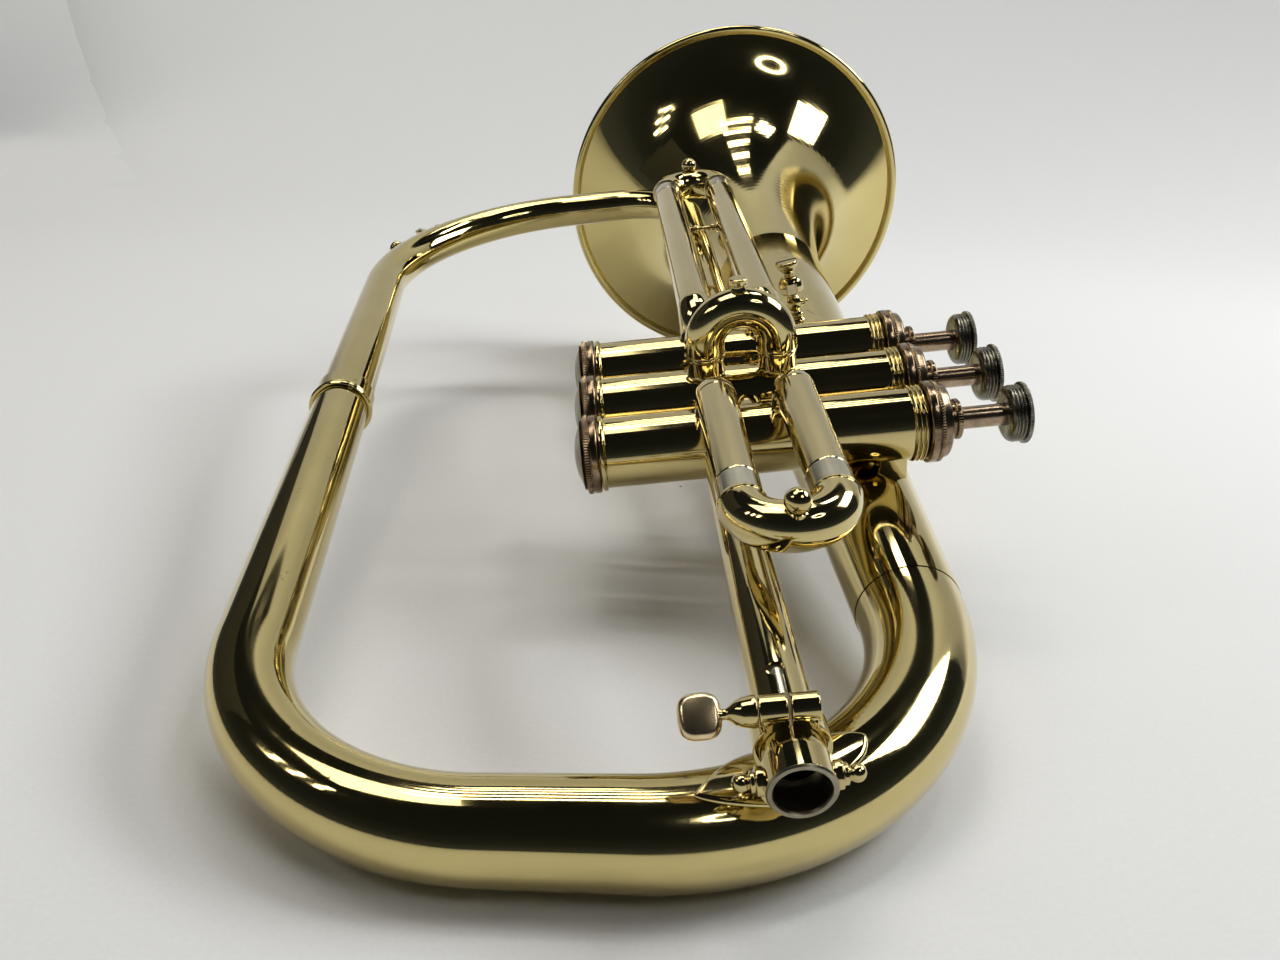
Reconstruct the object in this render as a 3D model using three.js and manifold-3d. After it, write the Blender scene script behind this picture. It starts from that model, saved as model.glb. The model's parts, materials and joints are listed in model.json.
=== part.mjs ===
// A small-bore piston flugelhorn lying on its right side, in millimetres.
//
// The horn is laid out in its own frame and then tipped onto its three resting points:
//   +Y runs along the bell axis towards the bell, x = z = 0 is that axis,
//   +X points from the bottom valve caps to the finger buttons,
//   +Z points out of the horn's left side, which faces up when it lies down,
//   y = 0 is the axis of the first valve.
import * as THREE from "three";
import { mergeVertices } from "three/addons/utils/BufferGeometryUtils.js";
import Module from "manifold-3d";

const wasm = await Module();
wasm.setup();

// ---------------------------------------------------------------- driving dimensions

const GAP = 0.3; // clearance between pieces that touch or slide
const WALL = 0.9; // wall of every drawn tube

// Bell and the conical loop behind it
const RIM_Y = 287;
const RIM_RADIUS = 79;
const BEAD_RADIUS = 1.6; // wire rolled into the rim
const SHEET_EDGE_Y = RIM_Y - BEAD_RADIUS; // where the sheet ends, in the middle of the wire
const FLARE_LENGTH = 117; // from the rim back to where the throat becomes a plain cone
const FLARE_SOFTNESS = 21.4;
const FLARE_POWER = 0.7;
const BELL_TAIL_Y = -44; // where the bell tail meets the rear bow
const BRANCH_CONE = [
  // [y, outer radius] from the throat back to the tail
  [113, 18.9],
  [0, 13.7],
  [BELL_TAIL_Y, 12.3],
];
const REAR_Y = -111.3; // centreline of the rear bow
const LEFT_X_REAR = -139; // centreline of the left branch at its two ends
const LEFT_X_FRONT = -148.5;
const FRONT_Y = 218.5; // centreline of the front crook
const LOOP_Z = 22.3; // height of the left branch above the bell axis
const CROOK_X = -29; // where the crook leaves the third valve
const FERRULE_Y = 54;
const FERRULE_LENGTH = 10;

// Valves
const VALVE_COUNT = 3;
const VALVE_PITCH = 22.6;
const VALVE_Z = 24;
const VALVE_RISE = 0.4; // each casing sits this much higher than the one behind it
const CASING_RADIUS = 9;
const CASING_BORE = 8.3;
const CASING_BOTTOM = -67.6;
const CASING_TOP = 13.5;
const BEAD_OUT = 0.75; // how far the turned rings stand proud of a casing
const PISTON_BOTTOM = -48;
const PISTON_TOP = 9.4;
const PISTON_WALL = 1.4;
const FELT_BOTTOM = 15.1; // felt washer under the top cap
const CAP_CEILING = 17.4;
const PORT_RADIUS = 3.9;
const STEM_RADIUS = 2.8;
const BUTTON_FACE = 39.4;
const BUTTON_HEIGHT = 5.2;
const BUTTON_RADIUS = 7.8;
const COLLAR_RADIUS = 5.1; // knurled stem guide on the top cap
const COLLAR_TOP = 23;
const CAP_TOP = 19.4;

// Tuning slides: two legs SLIDE_SPACING apart, centred on SLIDE_X
const SLIDE_X = -28.5;
const SLIDE_SPACING = 19;
const SLIDE_LIFT = 15.2; // slide plane above the valve axis
const SLIDE_RADIUS = 4.9; // outer slide tube
const SLIDE_BORE = 4.2;
const LEG_RADIUS = 3.9; // inner leg
const LEG_BORE = 3.2;
const KNUCKLE_RADIUS = 6.2;
const SLIDE1_MOUTH = -47;
const SLIDE1_INSERT = 32; // leg length inside the sleeves
const SLIDE3_MOUTH = 159.2;
const SLIDE3_INSERT = 60;
const SLIDE2_MOUTH = 37.2;
const BAND = 7.4; // nickel ferrule between a mouth and its bow
const BOW_LEAD = 0.3; // straight stretch between a ferrule and the bend
const BOW_RADIUS = 5.25;
const BALL_RADIUS = 2.8;

// Mouthpipe and its fittings
const PIPE_FRONT = new THREE.Vector3(-37.5, -CASING_RADIUS - GAP, 24);
const PIPE_REAR = new THREE.Vector3(-37, -119, 25);
const PIPE_RADIUS = 5.4;
const PIPE_BORE = 4.7;
const RECEIVER_RADIUS = 5.95;
const RECEIVER_BORE = 4.75;
const RECEIVER_LENGTH = 6.6;
const CLAMP_Y = -107;
const CLAMP_WIDTH = 5.2;
const LUG = 5.1; // reach of each clamp lug from the slit
const CLAMP_SCREW_Z = 32;
const WING_TILT = 37;
const BRACKET_Y = -115;
const KEYHOLE_Y = -94.5;

// Lyre socket on the bell branch, and the water key on the front bend
const LYRE_Y = 88;
const KEY_ANGLE = 140; // degrees round the front left bend, from +X
const KEY_LIFT = 5.2; // pivot of the key above the wall of the tube

// Resting attitude: it lies on the bell rim and on the middle of the rear bow
const REST_PITCH = 9.78; // degrees about X: the tail drops to the table
const REST_ROLL = -9.3; // degrees about Y: the left branch drops to the table

const SIDES = { bell: 32, loop: 16, crook: 14, slide: 10, turned: 16, small: 10 };

// ---------------------------------------------------------------- finishes

const finish = (color, roughness, metalness = 1) =>
  new THREE.MeshStandardMaterial({ color, roughness, metalness });
const brass = finish(0xc9b26a, 0.16);
const darkBrass = finish(0x8a6a4c, 0.38);
const nickel = finish(0xb9b5a8, 0.24);
const steel = finish(0x9a9a98, 0.3);
const felt = finish(0xe6e0cf, 0.95, 0);
const cork = finish(0xa87848, 0.9, 0);

// ---------------------------------------------------------------- shape helpers

const degrees = THREE.MathUtils.degToRad;
const X = new THREE.Vector3(1, 0, 0);
const Y = new THREE.Vector3(0, 1, 0);
const Z = new THREE.Vector3(0, 0, 1);

function toSolid(geometry) {
  const plain = geometry.index ? geometry.toNonIndexed() : geometry.clone();
  plain.deleteAttribute("normal");
  plain.deleteAttribute("uv");
  const merged = mergeVertices(plain, 1e-4);
  return new wasm.Manifold(
    new wasm.Mesh({
      numProp: 3,
      vertProperties: merged.attributes.position.array,
      triVerts: new Uint32Array(merged.index.array),
    }),
  );
}

function toGeometry(manifold) {
  const mesh = manifold.getMesh();
  const geometry = new THREE.BufferGeometry();
  const positions = new Float32Array(mesh.numVert * 3);
  for (let i = 0; i < mesh.numVert; i++) {
    const start = i * mesh.numProp;
    positions.set(mesh.vertProperties.subarray(start, start + 3), i * 3);
  }
  geometry.setAttribute("position", new THREE.BufferAttribute(positions, 3));
  geometry.setIndex(new THREE.BufferAttribute(mesh.triVerts, 1));
  return geometry;
}

const join = (...parts) => toGeometry(parts.map(toSolid).reduce((a, b) => a.add(b)));
const cut = (body, ...tools) =>
  toGeometry(tools.map(toSolid).reduce((a, b) => a.subtract(b), toSolid(body)));
const common = (a, b) => toGeometry(toSolid(a).intersect(toSolid(b)));

// Revolves [along, radius] points about `axis`; the outline closes on itself or on the axis.
function turned(outline, axis = Y, sides = SIDES.turned) {
  const points = outline.map(([along, radius]) => new THREE.Vector2(radius, along));
  const first = points[0];
  const last = points[points.length - 1];
  if (first.x > 0 || last.x > 0) points.push(first.clone());
  const turnsLeft = THREE.ShapeUtils.area(points) > 0;
  if (!turnsLeft) points.reverse();
  const geometry = new THREE.LatheGeometry(points, sides);
  geometry.applyQuaternion(new THREE.Quaternion().setFromUnitVectors(Y, axis));
  return geometry;
}

const ringOutline = (from, to, inner, outer) => [
  [from, inner],
  [from, outer],
  [to, outer],
  [to, inner],
];
const rodOutline = (from, to, radius) => [
  [from, 0],
  [from, radius],
  [to, radius],
  [to, 0],
];

// A bead or knob: part of a circle seen from the side, with `steps` facets.
function ballOutline(centre, radius, steps = 8) {
  const points = [];
  for (let i = 0; i <= steps; i++) {
    const angle = -Math.PI / 2 + (Math.PI * i) / steps;
    points.push([centre + radius * Math.sin(angle), i % steps ? radius * Math.cos(angle) : 0]);
  }
  return points;
}

const moved = (geometry, x, y, z) => geometry.translate(x, y, z);
const box = (x0, x1, y0, y1, z0, z1) =>
  new THREE.BoxGeometry(x1 - x0, y1 - y0, z1 - z0).translate(
    (x0 + x1) / 2,
    (y0 + y1) / 2,
    (z0 + z1) / 2,
  );

// A circular arc in space, from `start` through `angle` about `centre`.
class Arc extends THREE.Curve {
  constructor(centre, start, ahead, angle) {
    super();
    this.centre = centre;
    this.spoke = start.clone().sub(centre);
    this.ahead = ahead.clone().setLength(this.spoke.length());
    this.angle = angle;
  }
  getPoint(t, target = new THREE.Vector3()) {
    const a = this.angle * t;
    target.copy(this.centre).addScaledVector(this.spoke, Math.cos(a));
    return target.addScaledVector(this.ahead, Math.sin(a));
  }
}

// A line through `corners`, with each inner corner rounded to its radius.
function roundedPath(corners, radii) {
  const path = new THREE.CurvePath();
  let from = corners[0];
  radii.forEach((radius, i) => {
    const corner = corners[i + 1];
    const ahead = corner.clone().sub(from).normalize();
    const onward = corners[i + 2].clone().sub(corner).normalize();
    const angle = ahead.angleTo(onward);
    const inset = radius * Math.tan(angle / 2);
    const start = corner.clone().addScaledVector(ahead, -inset);
    const inward = onward.clone().addScaledVector(ahead, -onward.dot(ahead)).normalize();
    const centre = start.clone().addScaledVector(inward, radius);
    path.add(new THREE.LineCurve3(from, start));
    path.add(new Arc(centre, start, ahead, angle));
    from = corner.clone().addScaledVector(onward, inset);
  });
  path.add(new THREE.LineCurve3(from, corners[corners.length - 1]));
  return path;
}

// Distances along a path that follow its arcs closely and its straights at their ends only.
function stations(path, from = 0, to = path.getLength(), arcStep = 12) {
  const list = [from];
  let start = 0;
  for (const curve of path.curves) {
    const length = curve.getLength();
    const steps = curve.isLineCurve3 ? 1 : Math.ceil(curve.angle / degrees(arcStep));
    for (let i = 1; i <= steps; i++) {
      const s = start + (length * i) / steps;
      if (s > from + 0.5 && s < to - 0.5) list.push(s);
    }
    start += length;
  }
  list.push(to);
  return list;
}

// Bends a shape drawn along +Y from 0 onto a path, keeping its local Z near `up`.
function bend(geometry, path, up = Z) {
  const position = geometry.attributes.position;
  const total = path.getLength();
  for (let i = 0; i < position.count; i++) {
    const t = THREE.MathUtils.clamp(position.getY(i) / total, 0, 1);
    const ahead = path.getTangent(t);
    const top = up.clone().addScaledVector(ahead, -up.dot(ahead)).normalize();
    const side = ahead.clone().cross(top);
    const point = path.getPoint(t);
    point.addScaledVector(side, position.getX(i)).addScaledVector(top, position.getZ(i));
    position.setXYZ(i, point.x, point.y, point.z);
  }
  return geometry;
}

// A thin tube of outer radius radiusAt(s) along part of a path, open at both ends.
function tube(path, radiusAt, { from, to, sides }) {
  const along = stations(path, from, to);
  const outer = along.map((s) => [s, radiusAt(s)]);
  const inner = along.map((s) => [s, radiusAt(s) - WALL]).reverse();
  return bend(turned([...outer, ...inner], Y, sides), path);
}

// Linear interpolation in a list of [station, value] that rises by station.
function interpolate(table, at) {
  const next = table.findIndex(([station]) => station >= at);
  if (next === 0) return table[0][1];
  if (next < 0) return table[table.length - 1][1];
  const [s0, v0] = table[next - 1];
  const [s1, v1] = table[next];
  return v0 + ((v1 - v0) * (at - s0)) / (s1 - s0);
}

// ---------------------------------------------------------------- assembly

const horn = new THREE.Group();
const place = new THREE.Group();
place.add(horn);

function add(name, geometry, material) {
  const mesh = new THREE.Mesh(geometry, material);
  mesh.name = name;
  horn.add(mesh);
}

const valveY = (i) => i * VALVE_PITCH;
const valveZ = (i) => VALVE_Z + i * VALVE_RISE;
const slideZ = (i) => valveZ(i) + SLIDE_LIFT;
const slideX = [SLIDE_X - SLIDE_SPACING / 2, SLIDE_X + SLIDE_SPACING / 2];

// ---------------------------------------------------------------- bell and loop

function bellRadius(y) {
  const edge = RIM_RADIUS - 2 * BEAD_RADIUS - GAP;
  const flare = (back) => edge * (FLARE_SOFTNESS / (FLARE_SOFTNESS + back)) ** FLARE_POWER;
  const throatY = SHEET_EDGE_Y - FLARE_LENGTH;
  if (y >= throatY) return flare(SHEET_EDGE_Y - y);
  const cone = [...BRANCH_CONE].reverse();
  return interpolate([...cone, [throatY, flare(FLARE_LENGTH)]], y);
}

function buildBell() {
  const fromRim = [0, 2, 5.5, 11, 18, 28, 42, 62, 86, FLARE_LENGTH];
  const ys = [...fromRim.map((d) => SHEET_EDGE_Y - d), ...BRANCH_CONE.map(([y]) => y)];
  const outer = ys.map((y) => [y, bellRadius(y)]);
  const inner = ys.map((y) => {
    const slope = (bellRadius(y + 0.1) - bellRadius(y - 0.1)) / 0.2;
    const tilt = Math.atan(slope);
    return [y + WALL * Math.sin(tilt), bellRadius(y) - WALL * Math.cos(tilt)];
  });
  add("bell", turned([...outer, ...inner.reverse()], Y, SIDES.bell), brass);

  const bead = [];
  const facets = 6;
  for (let i = 0; i < facets; i++) {
    const angle = (2 * Math.PI * i) / facets;
    const out = RIM_RADIUS - BEAD_RADIUS + BEAD_RADIUS * Math.cos(angle);
    bead.push([RIM_Y - BEAD_RADIUS + BEAD_RADIUS * Math.sin(angle), out]);
  }
  add("bell_rim_wire", turned(bead, Y, SIDES.bell), brass);
}

// The loop from the third valve round to the bell tail, and its outer radius along the way.
const loopPath = roundedPath(
  [
    new THREE.Vector3(CROOK_X, valveY(2) + CASING_RADIUS + GAP, valveZ(2)),
    new THREE.Vector3(CROOK_X, FRONT_Y, LOOP_Z),
    new THREE.Vector3(LEFT_X_FRONT, FRONT_Y, LOOP_Z),
    new THREE.Vector3(LEFT_X_REAR, REAR_Y, LOOP_Z),
    new THREE.Vector3(0, REAR_Y, 0),
    new THREE.Vector3(0, BELL_TAIL_Y - GAP, 0),
  ],
  [28, 70, 49, 66],
);

// Distance along the loop of the point that is `share` of the way through its nth piece.
function loopStation(n, share = 0) {
  const lengths = loopPath.curves.map((curve) => curve.getLength());
  const before = lengths.slice(0, n).reduce((a, b) => a + b, 0);
  return before + share * lengths[n];
}

const LEFT_BRANCH = 4; // the loop's pieces alternate straight and arc
const leftBranch = loopPath.curves[LEFT_BRANCH];
const ferruleShare = (leftBranch.v1.y - FERRULE_Y) / (leftBranch.v1.y - leftBranch.v2.y);
const ferruleStart = loopStation(LEFT_BRANCH, ferruleShare);
const loopRadii = [
  [0, 5.2],
  [loopStation(1, 0.5), 6.0],
  [loopStation(3), 6.6],
  [loopStation(LEFT_BRANCH), 7.3],
  [ferruleStart, 8.0],
  [loopStation(5, 0.5), 8.9],
  [loopStation(6, 0.5), 10.1],
  [loopStation(7, 0.5), 11.2],
  [loopPath.getLength(), 12.3],
];
const loopRadius = (s) => interpolate(loopRadii, s);

function buildLoop() {
  const split = ferruleStart + FERRULE_LENGTH / 2;
  const crook = { to: split - GAP / 2, sides: SIDES.crook };
  add("front_crook", tube(loopPath, loopRadius, crook), brass);
  const bow = { from: split + GAP / 2, sides: SIDES.loop };
  add("rear_bow", tube(loopPath, loopRadius, bow), brass);

  const sleeve = [];
  for (const s of [0, 0.15, 0.9, 1]) {
    const at = ferruleStart + s * FERRULE_LENGTH;
    const lip = s >= 0.9 ? 0.35 : 0;
    sleeve.push([at, loopRadius(at) + GAP + 0.7 + lip]);
  }
  const end = ferruleStart + FERRULE_LENGTH;
  sleeve.push([end, loopRadius(end) + GAP], [ferruleStart, loopRadius(ferruleStart) + GAP]);
  const ferrule = bend(turned(sleeve, Y, SIDES.loop), loopPath);
  add("branch_ferrule", ferrule, brass);
}

// ---------------------------------------------------------------- valves

// The space of a casing and its clearance, which its neighbours are cut to.
function casingRoom(i) {
  const rod = turned(rodOutline(CASING_BOTTOM, CASING_TOP, CASING_RADIUS + GAP), X, 32);
  return moved(rod, 0, valveY(i), valveZ(i));
}

// A cross hole for a port, from the valve axis out along `way`.
function port(x, i, way, length = 12) {
  const hole = turned(rodOutline(0, length, PORT_RADIUS), way, 8);
  return moved(hole, x, valveY(i), valveZ(i));
}

// The places on each casing where a tube is brazed over a hole: [x, direction].
const ports = [
  [
    [PIPE_FRONT.x, Y.clone().negate()],
    [SLIDE_X, Y],
    [slideX[0], Z],
    [slideX[1], Z],
  ],
  [
    [SLIDE_X, Y.clone().negate()],
    [SLIDE_X - 6, Y],
    [slideX[0], Z],
    [slideX[1], Z],
  ],
  [
    [SLIDE_X - 6, Y.clone().negate()],
    [CROOK_X, Y],
    [slideX[0], Z],
    [slideX[1], Z],
  ],
];

function buildCasing(i) {
  const r = CASING_RADIUS;
  const rings = [10, 11.15, 12.3]; // start of each turned ring at the button end
  const outline = [
    [CASING_BOTTOM, CASING_BORE],
    [CASING_BOTTOM, r + BEAD_OUT],
    [CASING_BOTTOM + 1.3, r + BEAD_OUT],
    [CASING_BOTTOM + 1.3, r],
  ];
  for (const start of rings) {
    outline.push([start, r], [start + 0.25, r + BEAD_OUT], [start + 0.8, r + BEAD_OUT]);
    outline.push([start + 1.05, r]);
  }
  outline.push([CASING_TOP, r], [CASING_TOP, CASING_BORE]);
  const shell = moved(turned(outline, X), 0, valveY(i), valveZ(i));
  const holes = ports[i].map(([x, way]) => port(x, i, way));
  add(`valve_casing_${i + 1}`, cut(shell, ...holes), brass);
}

function buildCaps(i) {
  const bore = CASING_BORE - GAP;
  const bottom = [
    [-74.2, 0],
    [-73.6, 4.5],
    [-72.6, 7.6],
    [-71.8, 9.5],
    [-71.2, 10.1],
    [CASING_BOTTOM - GAP, 10.1],
    [CASING_BOTTOM - GAP, bore],
    [CASING_BOTTOM + 3.5, bore],
    [CASING_BOTTOM + 3.5, bore - 1.2],
    [-71, bore - 1.2],
    [-71, 0],
  ];
  const lower = moved(turned(bottom, X), 0, valveY(i), valveZ(i));
  add(`bottom_cap_${i + 1}`, lower, darkBrass);

  const stemHole = STEM_RADIUS + GAP;
  const top = [
    [CASING_TOP - 3.6, bore - 1.2],
    [CASING_TOP - 3.6, bore],
    [CASING_TOP + GAP, bore],
    [CASING_TOP + GAP, 10.4],
    [CASING_TOP + 3.7, 10.4],
    [CAP_TOP, 9.0],
    [CAP_TOP, COLLAR_RADIUS],
    [COLLAR_TOP, COLLAR_RADIUS],
    [COLLAR_TOP, stemHole],
    [CAP_CEILING, stemHole],
    [CAP_CEILING, bore - 1.2],
  ];
  const upper = moved(turned(top, X), 0, valveY(i), valveZ(i));
  add(`top_cap_${i + 1}`, upper, darkBrass);
}

function buildPiston(i) {
  const radius = CASING_BORE - GAP;
  const body = [
    [PISTON_BOTTOM, radius],
    [PISTON_TOP, radius],
    [PISTON_TOP, radius - PISTON_WALL],
    [-11, radius - PISTON_WALL],
    [-11, 0],
    [-43, 0],
    [-43, radius - PISTON_WALL],
    [PISTON_BOTTOM, radius - PISTON_WALL],
  ];
  const passage = (x, way) => moved(turned(rodOutline(-12, 12, PORT_RADIUS - 0.5), way, 8), x, 0, 0);
  const slanted = new THREE.Vector3(0, 1, 1).normalize();
  const passages = [passage(slideX[0], Y), passage(SLIDE_X, slanted), passage(slideX[1], Y)];
  const bored = cut(turned(body, X), ...passages);
  add(`piston_${i + 1}`, moved(bored, 0, valveY(i), valveZ(i)), nickel);

  const skirt = BUTTON_FACE - BUTTON_HEIGHT;
  const foot = PISTON_TOP + GAP;
  const stem = [
    [foot, 0],
    [foot, radius - PISTON_WALL],
    [foot + 1.4, radius - PISTON_WALL],
    [foot + 1.4, 3.6],
    [FELT_BOTTOM - GAP - 1.4, 3.6],
    [FELT_BOTTOM - GAP - 1.4, 5.4],
    [FELT_BOTTOM - GAP, 5.4],
    [FELT_BOTTOM - GAP, STEM_RADIUS],
    [BUTTON_FACE - 2, STEM_RADIUS],
    [BUTTON_FACE - 2, 0],
  ];
  add(`stem_${i + 1}`, moved(turned(stem, X, SIDES.small), 0, valveY(i), valveZ(i)), darkBrass);

  const button = [
    [skirt, STEM_RADIUS + GAP],
    [skirt, BUTTON_RADIUS - 2.6],
    [skirt + 0.8, BUTTON_RADIUS - 1],
    [skirt + 3.6, BUTTON_RADIUS - 0.6],
    [skirt + 4, BUTTON_RADIUS],
    [BUTTON_FACE - 0.3, BUTTON_RADIUS],
    [BUTTON_FACE, BUTTON_RADIUS - 0.4],
    [BUTTON_FACE, 0],
    [BUTTON_FACE - 2 + GAP, 0],
    [BUTTON_FACE - 2 + GAP, STEM_RADIUS + GAP],
  ];
  add(`finger_button_${i + 1}`, moved(turned(button, X), 0, valveY(i), valveZ(i)), nickel);

  const washer = ringOutline(FELT_BOTTOM, FELT_BOTTOM + 2, STEM_RADIUS + GAP, 6);
  const ring = turned(washer, X, SIDES.small);
  add(`stem_felt_${i + 1}`, moved(ring, 0, valveY(i), valveZ(i)), felt);
}

// The return spring between the bottom cap and the piston.
class Helix extends THREE.Curve {
  constructor(radius, from, to, turns) {
    super();
    Object.assign(this, { radius, from, to, turns });
  }
  getPoint(t, target = new THREE.Vector3()) {
    const angle = 2 * Math.PI * this.turns * t;
    const along = this.from + (this.to - this.from) * t;
    return target.set(along, this.radius * Math.cos(angle), this.radius * Math.sin(angle));
  }
}

function buildSpring(i) {
  const wire = 0.5;
  const turns = 5;
  const coil = new Helix(5.6, -71 + wire + GAP, PISTON_BOTTOM - wire - GAP, turns);
  const section = new THREE.Shape().absarc(0, 0, wire, 0, 2 * Math.PI);
  const options = { steps: turns * 8, curveSegments: 2, bevelEnabled: false, extrudePath: coil };
  const spring = new THREE.ExtrudeGeometry(section, options);
  add(`valve_spring_${i + 1}`, moved(spring, 0, valveY(i), valveZ(i)), steel);
}

// Short tubes that carry the wind from one casing to the next.
function buildValveLinks() {
  for (const i of [0, 1]) {
    const x = SLIDE_X - i * 6;
    const inside = CASING_RADIUS - 0.6;
    const outline = ringOutline(inside, VALVE_PITCH - inside, PORT_RADIUS, SLIDE_RADIUS);
    const link = moved(turned(outline, Y, SIDES.slide), x, valveY(i), valveZ(i));
    link.translate(0, 0, VALVE_RISE / 2);
    add(`valve_link_${i + 1}`, cut(link, casingRoom(i), casingRoom(i + 1)), brass);
  }
}

// ---------------------------------------------------------------- tuning slides

// A bow with two legs: from one leg's free end, round the crest, to the other leg's end.
// Outside the outer tubes' mouths each leg has a ferrule as wide as the tube, `band` long,
// then a ring, then the bow proper.
function slideBow(path, up, mouth, band) {
  const total = path.getLength();
  const ring = mouth + band;
  const outer = [];
  for (const s of stations(path, ring + 1.6, total - ring - 1.6, 18)) {
    outer.push([s, BOW_RADIUS]);
  }
  const half = [
    [0, LEG_RADIUS],
    [mouth + GAP, LEG_RADIUS],
    [mouth + GAP, SLIDE_RADIUS],
    [ring, SLIDE_RADIUS],
    [ring + 0.2, BOW_RADIUS + 0.2],
    [ring + 1.0, BOW_RADIUS + 0.2],
    [ring + 1.2, BOW_RADIUS],
  ];
  const mirrored = half.map(([s, r]) => [total - s, r]).reverse();
  const inner = stations(path, 0, total, 30).map((s) => [s, LEG_BORE]);
  const outline = [...half, ...outer, ...mirrored, ...inner.reverse()];
  return bend(turned(outline, Y, SIDES.slide), path, up);
}

// The outer tube of a slide: up out of a casing, round a knuckle and along `way` to its mouth.
function slideSleeve(x, i, way, length) {
  const base = valveZ(i) + Math.sqrt(CASING_RADIUS ** 2 - SLIDE_RADIUS ** 2) + 0.1;
  const start = new THREE.Vector3(x, valveY(i), base);
  const corner = new THREE.Vector3(x, valveY(i), slideZ(i));
  const end = corner.clone().addScaledVector(way, length);
  const path = roundedPath([start, corner, end], [KNUCKLE_RADIUS]);
  const total = path.getLength();
  const outer = stations(path, 0, total, 18).map((s) => [s, SLIDE_RADIUS]);
  const inner = stations(path, 0, total, 30).map((s) => [s, SLIDE_BORE]);
  const outline = [...outer, ...inner.reverse()];
  return cut(bend(turned(outline, Y, SIDES.slide), path, X), casingRoom(i));
}

// A pull ball seated on the crest of a long slide's bow, a little towards its outer side.
function pullBall(crestY, sign, z) {
  const centreY = crestY + sign * 1.6;
  const ball = moved(turned(ballOutline(z + 6.8, BALL_RADIUS, 8), Z, 12), SLIDE_X, centreY, 0);
  const seat = moved(turned(rodOutline(-6, 6, BOW_RADIUS + GAP), X), SLIDE_X, crestY, z);
  return cut(ball, seat);
}

function buildLongSlide(number, i, sign, mouthY, insert) {
  const way = Y.clone().multiplyScalar(sign);
  const length = (mouthY - valveY(i)) * sign;
  ["left", "right"].forEach((side, n) => {
    add(`slide_${number}_sleeve_${side}`, slideSleeve(slideX[n], i, way, length), brass);
  });

  const arcY = mouthY + sign * (BAND + BOW_LEAD);
  const root = mouthY - sign * insert;
  const corners = [
    new THREE.Vector3(slideX[0], root, slideZ(i)),
    new THREE.Vector3(slideX[0], arcY + sign * (SLIDE_SPACING / 2), slideZ(i)),
    new THREE.Vector3(slideX[1], arcY + sign * (SLIDE_SPACING / 2), slideZ(i)),
    new THREE.Vector3(slideX[1], root, slideZ(i)),
  ];
  const turn = SLIDE_SPACING / 2 - 0.05;
  const path = roundedPath(corners, [turn, turn]);
  add(`slide_${number}_bow`, slideBow(path, Z, insert, BAND), brass);

  const crestY = arcY + sign * (SLIDE_SPACING / 2);
  add(`slide_${number}_pull`, pullBall(crestY, sign, slideZ(i)), brass);
}

function buildSecondSlide() {
  const i = 1;
  const base = valveZ(i) + Math.sqrt(CASING_RADIUS ** 2 - SLIDE_RADIUS ** 2) + 0.1;
  ["left", "right"].forEach((side, n) => {
    const outline = [
      [base, SLIDE_BORE],
      [base, SLIDE_RADIUS],
      [SLIDE2_MOUTH, SLIDE_RADIUS],
      [SLIDE2_MOUTH, SLIDE_BORE],
    ];
    const sleeve = moved(turned(outline, Z, SIDES.slide), slideX[n], valveY(i), 0);
    add(`slide_2_sleeve_${side}`, cut(sleeve, casingRoom(i)), brass);
  });

  const root = valveZ(i) + CASING_RADIUS + GAP;
  const arcZ = SLIDE2_MOUTH + 3.6;
  const crest = arcZ + SLIDE_SPACING / 2;
  const corners = [
    new THREE.Vector3(slideX[0], valveY(i), root),
    new THREE.Vector3(slideX[0], valveY(i), crest),
    new THREE.Vector3(slideX[1], valveY(i), crest),
    new THREE.Vector3(slideX[1], valveY(i), root),
  ];
  const turn = SLIDE_SPACING / 2 - 0.05;
  const path = roundedPath(corners, [turn, turn]);
  add("slide_2_bow", slideBow(path, Y, SLIDE2_MOUTH - root, GAP), brass);

  const top = crest + BOW_RADIUS + GAP;
  const knob = [
    [top, 0],
    [top, 1.5],
    [top + 0.8, 1.5],
    [top + 1.1, 2.4],
    [top + 2.7, 2.4],
    [top + 3.0, 1.9],
    [top + 3.0, 0],
  ];
  add("slide_2_pull", moved(turned(knob, Z, 12), SLIDE_X, valveY(i), 0), brass);
}

// The turned strut between the third slide's outer tubes.
function buildSlideBrace() {
  const half = SLIDE_SPACING / 2 - SLIDE_RADIUS - GAP;
  const outline = [
    [-half, 0],
    [-half, 2.2],
    [-half + 0.7, 2.2],
    [-half + 1.0, 1.1],
    [-half + 1.6, 1.1],
    [-half + 2.3, 1.9],
    [-half + 3.4, 1.9],
    [-0.2, 1.0],
    [0.2, 1.0],
    [half - 3.4, 1.9],
    [half - 2.3, 1.9],
    [half - 1.6, 1.1],
    [half - 1.0, 1.1],
    [half - 0.7, 2.2],
    [half, 2.2],
    [half, 0],
  ];
  add("slide_3_brace", moved(turned(outline, X, 10), SLIDE_X, 122, slideZ(2)), brass);
}

// ---------------------------------------------------------------- mouthpipe

const pipePath = new THREE.CurvePath();
pipePath.add(new THREE.LineCurve3(PIPE_FRONT, PIPE_REAR));
const pipeLength = pipePath.getLength();
const pipeAt = (y) => (PIPE_FRONT.y - y) * (pipeLength / (PIPE_FRONT.y - PIPE_REAR.y));
const pipeZ = (y) => {
  const share = (PIPE_FRONT.y - y) / (PIPE_FRONT.y - PIPE_REAR.y);
  return PIPE_FRONT.z + share * (PIPE_REAR.z - PIPE_FRONT.z);
};

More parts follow.
